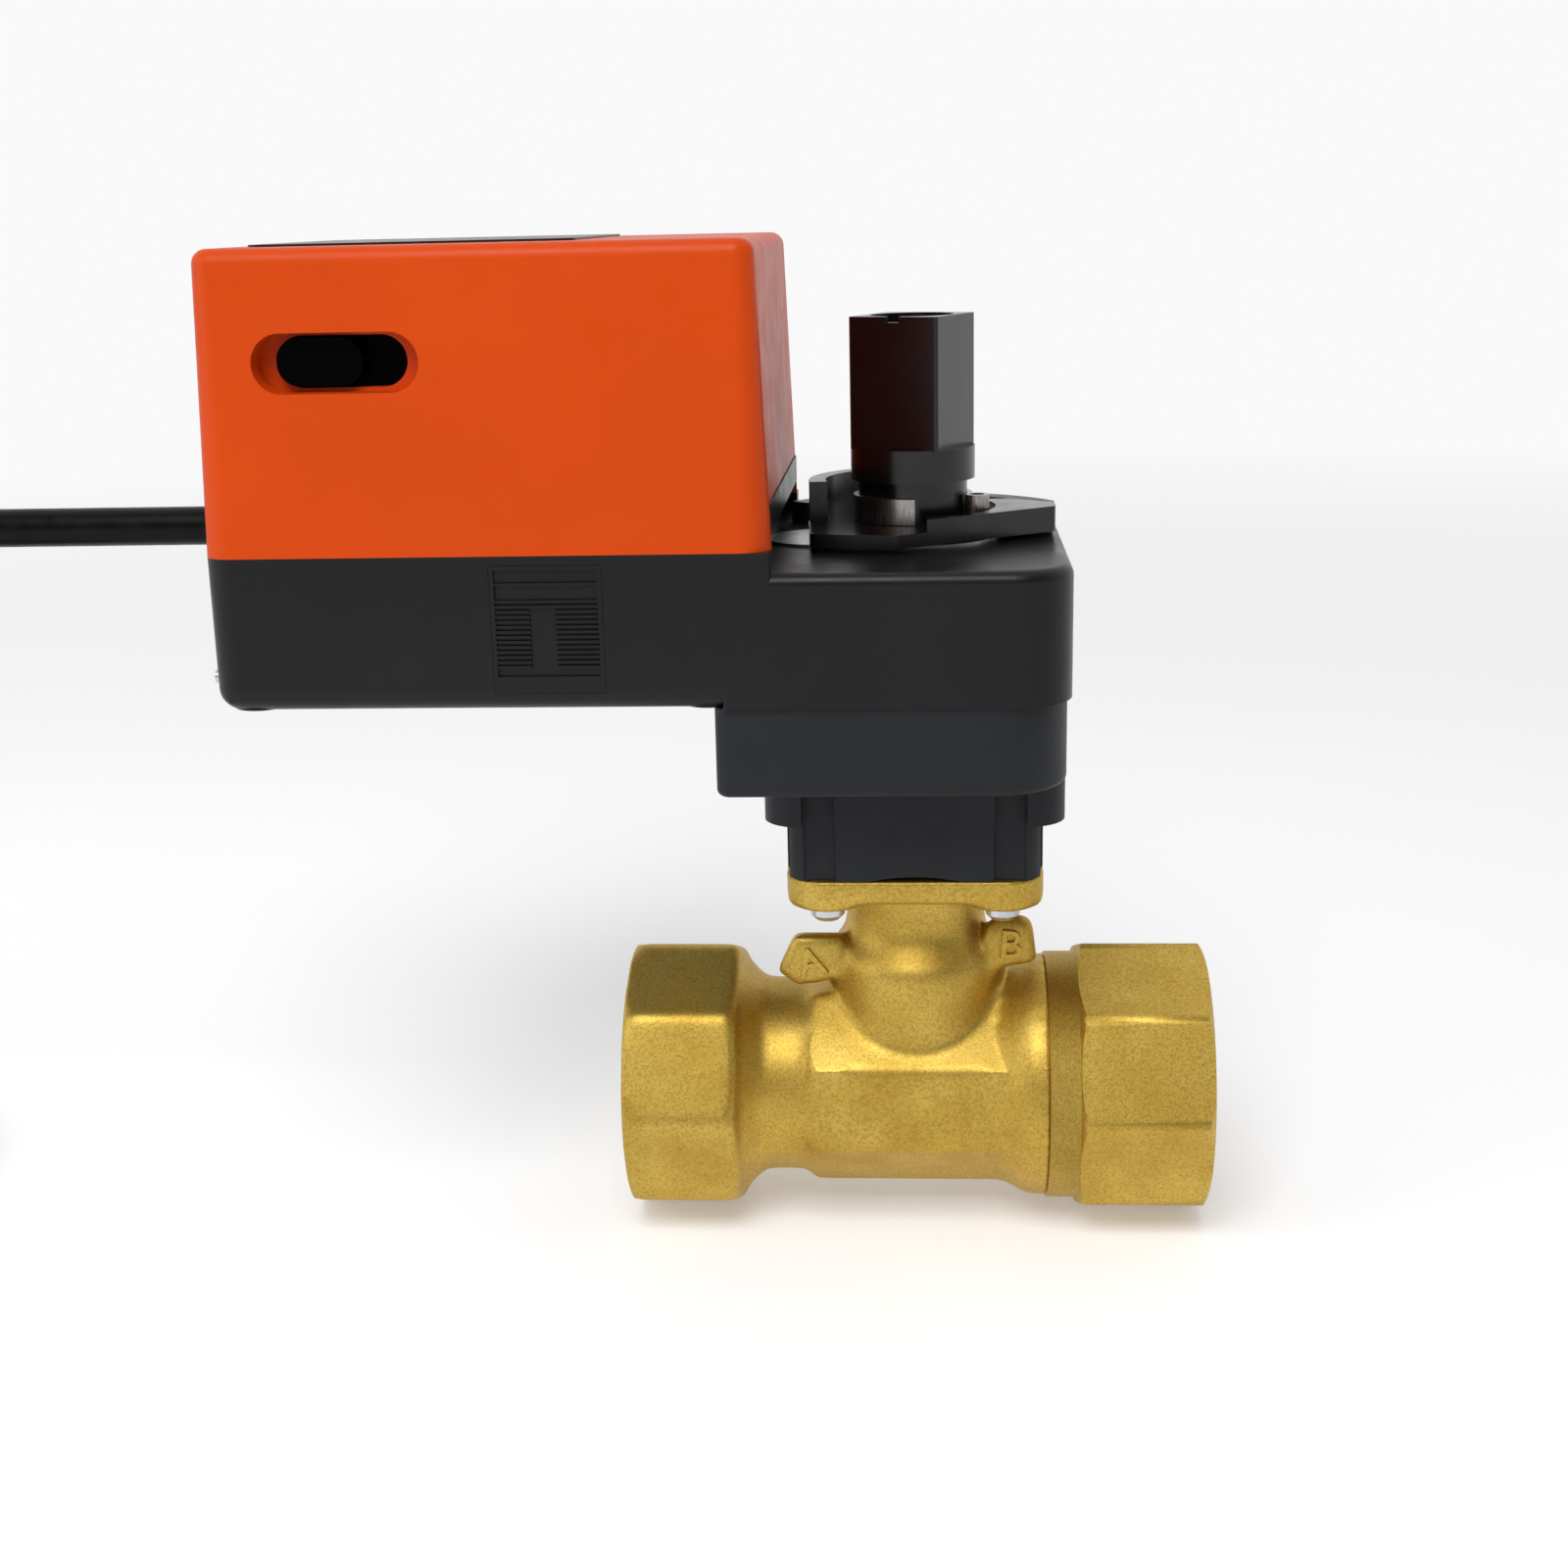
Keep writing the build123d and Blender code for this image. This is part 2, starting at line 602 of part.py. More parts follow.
def scale_sector():
    """The raised arc behind the pointer that carries the scale."""
    ring = tube(scale_outer, scale_inner, deck_top - 0.5, deck_top + scale_height)
    wedge = make_face(Polyline((0, 0), (60 * cos(radians(20)), 60 * sin(radians(20))), (0, 70),
                               (60 * cos(radians(140)), 60 * sin(radians(140))), close=True))
    sector = ring & (Pos(0, 0, deck_top - 2) * extrude(wedge, 10))
    return sector & block(bulkhead_x, case_right - 0.6, 0, half_width, deck_top - 2, deck_top + 10)


def end_stops():
    """The two posts that the sector's sides meet at the ends of its quarter turn."""
    pitch = 2 * pi / sector_teeth
    stop_at = 17.0
    side = asin((2.0 + PLAY) / stop_at)
    opened = pi + (last_tooth + 0.5) * pitch + side
    closed = pi + (first_tooth - 0.5) * pitch - pi / 2 - side
    return [(stop_at * cos(a), stop_at * sin(a)) for a in (opened, closed)]


def plate_posts():
    """The posts that carry the gear plate."""
    left, right, side = case_left + 8.0, bulkhead_x - 16.8, half_width - 7.0
    return [(left, -12.0), (left, 16.0), (right, -side), (right, side)]


def rib_plate_block(grow):
    """The window for the ribbed plate in the front wall, grown by a clearance."""
    return block(rib_plate_left - grow, rib_plate_left + rib_plate_width + grow, -half_width - EPS,
                 -half_width + case_wall + EPS, rib_plate_low - grow, rib_plate_low + rib_plate_height + grow)


def rib_plate():
    """The snap-in plate with fine level ribs and an upright gap down its middle."""
    x0, x1 = rib_plate_left, rib_plate_left + rib_plate_width
    left, right = x0 + rib_plate_frame, x1 - rib_plate_frame
    front, back = -half_width + SLIP, -half_width + rib_plate_sink + SLIP
    top = rib_plate_low + rib_plate_height
    solid = block(x0, x1, -half_width, -half_width + case_wall, rib_plate_low, top)
    solid -= block(left, right, -half_width - EPS, -half_width + rib_plate_sink, rib_plate_low + rib_bar_drop,
                   top - rib_plate_frame)
    gap_left, gap_right = (x0 + x1 - rib_gap) / 2 - rib_plate_frame, (x0 + x1 + rib_gap) / 2 - rib_plate_frame
    heights = [top - rib_bar_drop] + [top - 2 * rib_bar_drop - index * rib_pitch for index in range(rib_count)]
    for index, z in enumerate(heights):
        spans = [(left, right)] if index <= full_ribs else [(left, gap_left), (gap_right, right)]
        for start, end in spans:
            solid += block(start, end, front, back, z - rib_pitch / 2, z)
    return solid


def cover_shell(grow_in, z0, height):
    """A drafted block of the cover's outline, shrunk on all sides by grow_in."""
    radius = max(left_corner - grow_in, 0.6)
    outline = plan(case_left + grow_in, cover_right - grow_in, half_width - grow_in, radius, radius)
    return extrude(Plane.XY.offset(z0) * outline, amount=height, taper=cover_draft)


def cover():
    """The orange cover: drafted shell with soft edges, raised right wall, slot pocket and inner bosses."""
    solid = cover_shell(0, split_z, cover_height)
    solid = fillet(solid.edges().group_by(Axis.Z)[-1], 2.0)
    solid -= cover_shell(case_wall, split_z - EPS, cover_height + EPS - case_wall)
    room = cover_shell(case_wall / 2, split_z, cover_height - case_wall / 2)
    inset = case_wall / 2
    inside = plan(case_left + inset, cover_right - inset, half_width - inset, left_corner, left_corner)
    boss_room = extrude(Plane.XY.offset(split_z) * inside, amount=screw_boss_height)
    boss_top = split_z + screw_boss_height
    for at in case_screws:
        boss = rod(screw_boss_radius, split_z, boss_top, at)
        side = 1 if at[1] > 0 else -1
        boss += block(at[0] - case_screw_inset, at[0], *sorted((at[1], side * half_width)), split_z, boss_top)
        solid += boss & boss_room
        solid -= rod(small_screw_radius, split_z - EPS, boss_top - case_wall, at)
    front = -half_width
    back_of_pocket = front + slot_depth + case_wall
    pocket = stadium(slot_length + 3.0, slot_height + 3.0, front, back_of_pocket)
    solid += pocket & room
    solid -= stadium(slot_length, slot_height, front - EPS, front + slot_depth)
    solid -= stadium(window_length, window_height, front, back_of_pocket + EPS)
    for side in (-1, 1):
        solid += slider_rail(side) & room
    solid -= block(bulkhead_x - case_wall - EPS, cover_right + EPS, -cut_out_half, cut_out_half, split_z - EPS,
                   ledge_top + 0.15)
    solid -= gland_hole()
    for at in board_posts():
        solid += rod(2.4, board_z + board_thickness, cover_top - 1, at)
        solid -= rod(0.9, board_z, board_z + 8, at)
    return solid


def stadium(length, height, y0, y1):
    """A slot-shaped bar through the cover's front, from y0 back to y1."""
    middle = slot_left + slot_length / 2
    face = Plane.XZ.offset(-y0) * (Pos(middle, slot_z) * SlotOverall(length, height))
    return extrude(face, -(y1 - y0))


def board_posts():
    """The posts under the cover's roof that the circuit board hangs on."""
    return [(x, y) for x in (case_left + 12.0, cover_right - 9.0)
            for y in (-half_width + board_front + 3.0, half_width - board_back - 3.0)]


def slider_rail(side):
    """One rail behind the slot that guides the slider, on the upper or the lower side."""
    back = -half_width + slot_depth + case_wall
    edge = slot_z + side * 5.1
    far = slot_z + side * 7.0
    lip = slot_z + side * 3.9
    x0, x1 = slot_left - 3.5, slot_left + slot_length + 6.0
    rail = block(x0, x1, back - 0.2, back + 2.0, min(edge, far), max(edge, far))
    return rail + block(x0, x1, back + 2.0, back + 3.2, min(lip, far), max(lip, far))


def slider():
    """The black release slider: a grip in the slot on a plate that runs in the rails."""
    back = -half_width + slot_depth + case_wall
    window_left = slot_left + (slot_length - window_length) / 2
    grip_length = window_length - slider_travel - 2 * PLAY
    grip = Plane.XZ.offset(-(back - 3.4)) * (Pos(window_left + PLAY + grip_length / 2, slot_z)
                                             * RectangleRounded(grip_length, window_height - 2 * PLAY, 2.9))
    solid = extrude(grip, -(3.4 + 0.5))
    plate_left = window_left - 4.2
    solid += block(plate_left, window_left + window_length + 1.2, back + PLAY, back + PLAY + 1.4,
                   slot_z - 4.8, slot_z + 4.8)
    return solid


def gear_face(teeth, module, phase, first=None, last=None):
    """The outline of an involute spur gear, or of a sector of it from tooth first to tooth last."""
    pitch_radius = module * teeth / 2
    base_radius = pitch_radius * cos(pressure_angle)
    tip_radius = pitch_radius + addendum * module
    root_radius = pitch_radius - dedendum * module
    start = max(base_radius, root_radius)
    involute = tan(pressure_angle) - pressure_angle
    half_tooth = (pi * module / 2 - backlash * sqrt(module)) / (2 * pitch_radius)

    def half_angle(radius):
        slope = acos(min(1.0, base_radius / radius))
        return half_tooth + involute - (tan(slope) - slope)

    steps = 3
    radii = [start + (tip_radius - start) * i / steps for i in range(steps + 1)]
    numbers = range(teeth) if first is None else range(first, last + 1)
    points = []
    for number in numbers:
        middle = phase + number * 2 * pi / teeth
        flank = [(r, half_angle(r)) for r in radii]
        if root_radius < base_radius:
            flank.insert(0, (root_radius, half_angle(start)))
        points += [(r * cos(middle - a), r * sin(middle - a)) for r, a in flank]
        points += [(r * cos(middle + a), r * sin(middle + a)) for r, a in reversed(flank)]
    if first is not None:
        points.append((0.0, 0.0))
    return make_face(Polyline(*points, close=True))


def gear_solid(face, z0, thickness, at):
    """A gear outline made solid at its place."""
    return Pos(at[0], at[1], z0) * extrude(face, thickness)


def output_gear():
    """The toothed sector on its hollow hub, which turns in two bushes and drives the spindle."""
    face = gear_face(sector_teeth, sector_module, pi, first_tooth, last_tooth)
    sector = gear_solid(face, sector_z, sector_thickness, (0, 0))
    solid = sector + rod(hub_radius + 2.5, sector_z, sector_z + sector_thickness)
    for index in range(3):
        middle = pi + (index - 1) * radians(40) + radians(45)
        solid -= rod(3.2, sector_z - EPS, sector_z + sector_thickness + EPS, (17.2 * cos(middle), 17.2 * sin(middle)))
    solid += rod(hub_radius, base_bottom + 0.2, deck_top + 0.1)
    return solid - square_post(spindle_square + 2 * SLIP, base_bottom - EPS, deck_top + EPS)


def wheel_with_pinion(wheel, pinion, wheel_z, wheel_thickness, pinion_low, pinion_high, at):
    """A wheel and a pinion moulded as one, bored for their pin."""
    solid = gear_solid(wheel, wheel_z, wheel_thickness, at)
    solid += gear_solid(pinion, pinion_low, pinion_high - pinion_low, at)
    low, high = min(wheel_z, pinion_low), max(wheel_z + wheel_thickness, pinion_high)
    return solid - rod(gear_pin_radius + RUNNING, low - EPS, high + EPS, at)


def idler_3():
    """The gear on the sector: a pinion below a large wheel."""
    wheel = gear_face(wheel_3_teeth, wheel_3_module, direction_23)
    pinion = gear_face(pinion_3_teeth, sector_module, pi / pinion_3_teeth)
    return wheel_with_pinion(wheel, pinion, wheel_3_z, wheel_3_thickness, sector_z, wheel_3_z, gear_3_at)


def idler_2():
    """The gear between the motor and the large wheel."""
    wheel = gear_face(wheel_2_teeth, wheel_2_module, direction_2m)
    pinion = gear_face(pinion_2_teeth, wheel_3_module, direction_23 + pi + pi / pinion_2_teeth)
    return wheel_with_pinion(wheel, pinion, wheel_2_z, wheel_2_thickness, wheel_3_z, wheel_2_z, gear_2_at)


def motor_rotor():
    """The motor's shaft with its pinion, down through the gear plate."""
    pinion = gear_face(motor_pinion_teeth, wheel_2_module, direction_2m + pi + pi / motor_pinion_teeth)
    solid = gear_solid(pinion, wheel_2_z - 0.3, wheel_2_thickness + 0.6, motor_at)
    solid += rod(motor_shaft_radius, wheel_2_z - 0.3, motor_z + motor_height - 1.0, motor_at)
    return solid + rod(8.0, motor_z + 4.0, motor_z + motor_height - 4.0, motor_at)


def motor_can():
    """The flat motor's steel can with two fixing ears, hollow round its rotor."""
    solid = rod(motor_radius, motor_z, motor_z + motor_height, motor_at)
    ears = SlotCenterToCenter(2 * motor_radius + 6, 7.0, rotation=90)
    solid += Pos(motor_at[0], motor_at[1], motor_z) * extrude(ears, 0.9)
    for at in motor_screw_places():
        solid -= rod(1.6, motor_z - EPS, motor_z + 2, at)
    solid -= rod(8.0 + PLAY, motor_z + 4.0 - PLAY, motor_z + motor_height - 4.0 + PLAY, motor_at)
    return solid - rod(motor_shaft_radius + RUNNING, motor_z - EPS, motor_z + motor_height - 1.0 + PLAY, motor_at)


def motor_screw_places():
    """Where the motor's two ears are screwed to the gear plate."""
    return [(motor_at[0], motor_at[1] + side * (motor_radius + 3.0)) for side in (-1, 1)]


def gear_plate():
    """The steel plate over the gears that carries the motor and the tops of the gear pins."""
    inner = half_width - case_wall - 1.0
    outline = plan(case_left + case_wall + 1.0, bulkhead_x - case_wall - 1.0, inner, 3.0, 3.0)
    solid = Pos(0, 0, gear_plate_z) * extrude(outline, gear_plate_thickness)
    for at in case_screws:
        solid -= rod(4.4, gear_plate_z - EPS, motor_z + EPS, at)
    for at in (gear_3_at, gear_2_at):
        solid -= rod(gear_pin_radius + SLIP, gear_plate_z - EPS, motor_z + EPS, at)
    solid -= rod(3.0, gear_plate_z - EPS, motor_z + EPS, motor_at)
    for at in motor_screw_places():
        solid -= rod(1.2, gear_plate_z - EPS, motor_z + EPS, at)
    for at in plate_posts():
        solid -= rod(1.3, gear_plate_z - EPS, motor_z + EPS, at)
    cable_room = block(case_left, case_left + gland_length + 8, -8, 8, gear_plate_z - EPS, motor_z + EPS)
    return solid - cable_room


def gear_pins():
    """The two fixed pins that the gears turn on."""
    pins = []
    for at in (gear_3_at, gear_2_at):
        pins.append(rod(gear_pin_radius, base_bottom + 1.0, motor_z, at))
    return pins


def bush(z0, z1):
    """A plain bearing bush round the output hub."""
    inner = hub_radius + RUNNING
    return tube(inner + bush_wall, inner, z0, z1)


def thrust_plate():
    """The thin bright plate under the pointer, with a lobe that shows on the left."""
    outline = make_hull(Circle(12.6).edges() + (Pos(-13.2, -2.5) * Circle(7.8)).edges())
    plate = Pos(0, 0, deck_top) * extrude(outline, thrust_plate_thickness)
    return plate - rod(hub_radius + PLAY, deck_top - EPS, deck_top + EPS)


def sleeve():
    """The tall black sleeve: round neck and collar, square head with round corners, open mouth."""
    low = deck_top + 0.1
    solid = rod(sleeve_neck_radius, low, sleeve_collar_z)
    solid += rod(sleeve_collar_radius, sleeve_collar_z, sleeve_flat_z + 0.1)
    head = square_post(sleeve_head_af, sleeve_flat_z, sleeve_top, sleeve_head_turn)
    solid += head & rod(sleeve_head_radius, sleeve_flat_z, sleeve_top)
    mouth_floor = spindle_top - 3.0
    solid -= rod(sleeve_mouth_radius, mouth_floor, sleeve_top + EPS)
    solid -= square_post(spindle_square + 2 * SLIP, low - EPS, mouth_floor + EPS)
    notch = block(-1.0, 1.0, -sleeve_head_radius, -sleeve_mouth_radius + 0.5, sleeve_top - 0.8, sleeve_top + EPS)
    return solid - Rot(0, 0, sleeve_head_turn) * notch


def pointer():
    """The flat pointer on the sleeve's neck: plate, raised arm along the pipe, round guard wall."""
    tip = pointer_reach
    outline = Polyline((tip, -1.8), (-2.0, pointer_front - 2.6), (pointer_left, pointer_front),
                       (pointer_left - 0.8, -2.0), (-10.6, 10.6), (0.0, 13.6), (10.0, 10.0), (tip, 2.2), close=True)
    face = fillet(make_face(outline).vertices(), 1.0)
    plate = Pos(0, 0, pointer_z) * extrude(face, pointer_thickness)
    arm = Pos(0, 0, pointer_z) * extrude(face, pointer_arm_thickness)
    arm &= block(2.0, tip, -guard_radius, 7.0, pointer_z, guard_top)
    plate += arm - rod(clip_room, pointer_z, guard_top)
    guard = tube(guard_radius, guard_radius - guard_wall, pointer_z, guard_top)
    wedge = make_face(Polyline((0, 0), (-40, -10), (-40, 40), (-14, 40), close=True))
    plate += guard & (Pos(0, 0, pointer_z) * extrude(wedge, 20))
    return plate - rod(sleeve_neck_radius + SLIP, deck_top, guard_top)


def retaining_clip():
    """The bright spring clip round the sleeve's neck, open at the front right with one curled end."""
    inner = sleeve_neck_radius + SLIP
    ring = tube(inner + clip_thickness, inner, clip_z, clip_z + clip_height)
    a0, a1 = radians(-88), radians(-22)
    reach = 30.0
    gap = make_face(Polyline((0, 0), (reach * cos(a0), reach * sin(a0)), (reach * cos(a1), reach * sin(a1)),
                             close=True))
    ring -= Pos(0, 0, clip_z - EPS) * extrude(gap, clip_height + 2 * EPS)
    middle = inner + clip_thickness / 2
    curl_at = ((middle + 1.4) * cos(a1 + 0.08), (middle + 1.4) * sin(a1 + 0.08))
    curl = tube(1.75, 1.75 - clip_thickness, clip_z, clip_z + clip_height, curl_at)
    curl -= rod(inner, clip_z - EPS, clip_z + clip_height + EPS)
    return ring + curl


BOARD_CHIPS = [(32.5, 6, 9, 9, 1.4), (50.5, 8, 6, 4, 1.5), (50.5, -8, 10, 6.5, 3.0), (24.5, -8, 5, 6.2, 1.8)]


def circuit_board():
    """The control board with its chips, hanging from the cover's posts."""
    x0, x1 = case_left + 7.0, cover_right - 5.5
    board = block(x0, x1, -half_width + board_front, half_width - board_back, board_z, board_z + board_thickness)
    top = board_z + board_thickness
    for along, y, long, wide, high in BOARD_CHIPS:
        x = case_left + along
        board += block(x - long / 2, x + long / 2, y - wide / 2, y + wide / 2, top - 0.1, top + high)
    for at in board_posts():
        board -= rod(1.1, board_z - EPS, top + EPS, at)
    return board


def capacitor():
    """The round smoothing capacitor that stands on the board."""
    top = board_z + board_thickness
    at = (case_left + 38.5, -half_width + 19.0)
    return rod(4.0, top, top + 9.0, at) - tube(5.0, 3.7, top + 7.6, top + 8.2, at)


def terminal_block():
    """The three-way connector under the board where the cable's cores end."""
    half = 1.5 * terminal_pitch
    solid = block(terminal_x - 3.6, terminal_x + 3.6, -half - 0.3, half + 0.3, board_z - terminal_height, board_z)
    for y in core_places():
        solid -= rod(core_radius + 0.3, board_z - terminal_height - EPS, board_z - 3.0, (terminal_x, y))
    return solid


def core_places():
    """Where the three cores enter the connector, across the case."""
    return [(index - 1) * terminal_pitch for index in range(3)]


def cable_gland():
    """The soft bush that the cable is gripped in, between the base and the cover."""
    ring = extrude(Plane.YZ.offset(case_left + PLAY) * Pos(0, cable_z) * Circle(gland_radius), gland_length - 1.4)
    hole = Circle(cable_radius + SLIP)
    return ring - extrude(Plane.YZ.offset(case_left - EPS) * Pos(0, cable_z) * hole, gland_length + 3)


COIL_OUTER = 42.0         # middle of the outermost turn
COIL_TURNS = 3.75
COIL_PITCH = 5.75         # from one turn to the next
COIL_CENTRE = (-198.1, 0.0)
FLOOR_Z = -octagon_radius
LYING_Z = FLOOR_Z + cable_radius
COIL_EDGE = COIL_CENTRE[0] - COIL_OUTER
CABLE_ROUTE = [(case_left + gland_length, 0, cable_z), (-165, 0, cable_z), (-211, 20, 62),
               (-232, 39.5, 34), (-237.3, 41.5, 8), (-239.8, 31.5, -9.5), (COIL_EDGE, 14, LYING_Z),
               (COIL_EDGE, 0, LYING_Z)]
BARE_LENGTH = 9.0


def run_radii(points):
    """The radius of the arc at each inner point: as large as the two runs beside it allow."""
    radii = []
    for before, here, after in zip(points, points[1:], points[2:]):
        into, out = Vector(*here) - Vector(*before), Vector(*after) - Vector(*here)
        turn = radians(into.get_angle(out))
        radii.append(0.45 * min(into.length, out.length) / tan(turn / 2))
    return radii


def swept_cord(points, radius):
    """A round cord along straight runs joined by tangent arcs, with its length."""
    radii = run_radii(points)
    path = FilletPolyline(*points, radius=radii) if radii else Line(*points)
    start = Plane(origin=points[0], z_dir=(Vector(*points[1]) - Vector(*points[0])).normalized())
    cord = sweep(start * Circle(radius), path=path)
    print("cord", round(path.length, 1), "radii", [round(r, 1) for r in radii],
          "volume ratio", round(cord.volume / (path.length * pi * radius ** 2), 4))
    return cord, path.length


def cable_pieces():
    """The cable: free stretch, flat coil of the stored length, and its end on the coil with the bare cores."""
    free, free_length = swept_cord(CABLE_ROUTE, cable_radius)
    middle = COIL_OUTER - COIL_PITCH * COIL_TURNS / 2
    tail_length = cable_length - (free_length - gland_length) - COIL_TURNS * 2 * pi * middle
    cx, cy = COIL_CENTRE
    inner = COIL_OUTER - COIL_PITCH * COIL_TURNS - cable_radius
    top = FLOOR_Z + 2 * cable_radius
    coil = tube(COIL_OUTER + cable_radius, inner, FLOOR_Z, top, COIL_CENTRE)
    coil = chamfer(coil.edges(), cable_radius / 2) - swept_cord(CABLE_ROUTE, cable_radius + SLIP)[0]
    y_tail, z_tail = cy + middle, top + cable_radius
    tail = extrude(Plane.YZ.offset(cx - tail_length) * Pos(y_tail, z_tail) * Circle(cable_radius), tail_length)
    cores = []
    for index in range(3):
        a = index * 2 * pi / 3 - pi / 2
        at = (y_tail + 1.3 * cos(a), z_tail + 1.3 * sin(a))
        cores.append(extrude(Plane.YZ.offset(cx - tail_length) * Pos(*at) * Circle(core_radius), -BARE_LENGTH))
    return free, coil, tail, cores


def inner_cores():
    """The three cores inside the case, from the cable's end up into the connector."""
    x0 = case_left + gland_length
    cores = []
    for index, y in enumerate(core_places()):
        start = (index - 1) * 1.8
        path = FilletPolyline((x0, start, cable_z), (terminal_x - 1.6, start, cable_z),
                              (terminal_x, y, cable_z + 6.0), (terminal_x, y, board_z - 3.5), radius=[1.3, 4.0])
        cores.append(sweep(Plane(origin=(x0, start, cable_z), z_dir=(1, 0, 0)) * Circle(core_radius), path=path))
    return cores


def end_pin():
    """The small plated pin that stands out of the case's left end."""
    return extrude(Plane.YZ.offset(case_left - 1.8) * Pos(-half_width + 8.0, floor_top + 1.0) * Circle(0.9),
                   1.8 + case_wall)


def top_plate():
    """The bare label plate on the cover's roof."""
    outline = RectangleRounded(label_length, label_width, 2.0)
    return Pos(case_left + label_at, 0, cover_top) * extrude(outline, label_thickness)


def build():
    """Builds every piece and writes it."""
    pieces = {
        "valve_body": valve_body(), "end_connector": end_connector(), "ball": ball(),
        "seat_a": seat(-1), "seat_b": seat(1), "flow_plate": flow_plate(), "stem": stem(),
        "stem_rings": Compound(children=[ring_solid(stem_radius + 0.02, ring_section - 0.04, z)
                                         for z in ring_heights()]),
        "thrust_washer": tube(shoulder_radius, stem_radius + SLIP, washer_z, recess_top),
        "joint_ring": joint_ring(),
        "spindle": spindle(), "adapter": adapter(),
        "flange_screws": Compound(children=[cap_screw(at) for at in bolts]),
        "adapter_screws": Compound(children=[pan_screw((0, side * adapter_screw_y), adapter_top + bracket_wall, 9.0,
                                                       up=False) for side in (-1, 1)]),
        "bracket": bracket(),
        "bracket_screws": Compound(children=[pan_screw(at, adapter_top + head_sink, bracket_height + 3.0)
                                             for at in bracket_screws]),
        "base_housing": base_housing(), "cover": cover(), "top_plate": top_plate(),
        "case_screws": Compound(children=[pan_screw(at, base_bottom + head_sink, base_height + 9.0)
                                          for at in case_screws]),
        "release_slider": slider(), "rib_plate": rib_plate(),
        "output_gear": output_gear(), "lower_bush": bush(base_bottom, sector_z - PLAY),
        "upper_bush": bush(deck_under - 2.0, deck_top), "idler_gear_3": idler_3(), "idler_gear_2": idler_2(),
        "motor_rotor": motor_rotor(), "motor_can": motor_can(), "gear_plate": gear_plate(),
        "gear_pins": Compound(children=gear_pins()),
        "plate_screws": Compound(children=[pan_screw(at, motor_z, plate_screw_length, shank=plate_screw_radius,
                                                     head=2.0, head_height=1.2, up=False) for at in plate_posts()]),
        "thrust_plate": thrust_plate(), "sleeve": sleeve(), "pointer": pointer(), "retaining_clip": retaining_clip(),
        "circuit_board": circuit_board(), "capacitor": capacitor(), "terminal_block": terminal_block(),
        "cable_gland": cable_gland(), "end_pin": end_pin(), "inner_cores": Compound(children=inner_cores()),
    }
    free, coil, tail, cores = cable_pieces()
    pieces["cable_free"] = free
    pieces["cable_coil"] = coil
    pieces["cable_tail"] = tail
    pieces["cable_cores"] = Compound(children=cores)
    os.makedirs("parts", exist_ok=True)
    for name, shape in pieces.items():
        save(shape, name)


build()
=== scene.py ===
"""A modulating control valve: finishes, cable, threads and port letters, with floor, lamps and camera."""
import logging
import math
from dataclasses import dataclass, field
from enum import Enum
from typing import Any

import bmesh
import bpy
import numpy as np
from mathutils import Matrix, Vector


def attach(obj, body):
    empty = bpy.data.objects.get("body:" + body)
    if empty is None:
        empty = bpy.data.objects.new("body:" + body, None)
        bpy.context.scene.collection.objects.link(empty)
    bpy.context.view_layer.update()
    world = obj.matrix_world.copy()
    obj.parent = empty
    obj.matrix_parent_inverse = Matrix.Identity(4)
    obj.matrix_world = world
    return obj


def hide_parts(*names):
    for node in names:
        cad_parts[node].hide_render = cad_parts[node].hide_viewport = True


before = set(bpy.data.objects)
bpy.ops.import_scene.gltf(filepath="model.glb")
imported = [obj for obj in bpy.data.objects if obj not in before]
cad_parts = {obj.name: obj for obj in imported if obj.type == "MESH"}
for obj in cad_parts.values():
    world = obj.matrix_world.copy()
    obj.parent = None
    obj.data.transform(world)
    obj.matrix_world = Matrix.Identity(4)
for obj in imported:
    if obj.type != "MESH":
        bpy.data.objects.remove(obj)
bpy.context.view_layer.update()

log = logging.getLogger("valve")

MM = 0.001
FLOOR_Z = -21.107 * MM      # the lowest edge of the octagonal ends
PORT_FACE = 43.5            # from the ball's centre to either end of the valve, along the pipe
WHITE = (1.0, 1.0, 1.0, 1.0)


class Port(Enum):
    """The two ends of the valve, by the letter that stands on the forging."""

    INLET = "A"
    OUTLET = "B"


def linear(hex_text: str) -> tuple[float, float, float, float]:
    """Turn an sRGB hex colour into linear light.

    Args:
        hex_text: a colour such as "#E2500F".

    Returns:
        Red, green, blue in linear light, and an alpha of 1.
    """
    parts = [int(hex_text[i:i + 2], 16) / 255 for i in (1, 3, 5)]
    light = [p / 12.92 if p <= 0.04045 else ((p + 0.055) / 1.055) ** 2.4 for p in parts]
    return (light[0], light[1], light[2], 1.0)


def add(tree: bpy.types.NodeTree, kind: str, settings: dict[Any, Any] | None = None,
        links: dict[Any, bpy.types.NodeSocket] | None = None) -> bpy.types.Node:
    """Add one shader node with its settings and links.

    Args:
        tree: the material's or world's node tree.
        kind: the node's type name.
        settings: values by attribute name, or else by the input's name or index.
        links: sockets by the input's name or index.

    Returns:
        The new node.
    """
    node = tree.nodes.new(kind)
    for name, value in (settings or {}).items():
        if isinstance(name, str) and hasattr(node, name):
            setattr(node, name, value)
        else:
            node.inputs[name].default_value = value
    for name, socket in (links or {}).items():
        tree.links.new(socket, node.inputs[name])
    return node


def blank(name: str) -> tuple[bpy.types.Material, bpy.types.NodeTree, bpy.types.Node]:
    """Start a material with an empty Principled shader.

    Args:
        name: the material's name.

    Returns:
        The material, its tree and the Principled node, which is linked to the output.
    """
    material = bpy.data.materials.new(name)
    material.use_nodes = True
    tree = material.node_tree
    tree.nodes.clear()
    shader = add(tree, "ShaderNodeBsdfPrincipled")
    add(tree, "ShaderNodeOutputMaterial", links={"Surface": shader.outputs[0]})
    return material, tree, shader


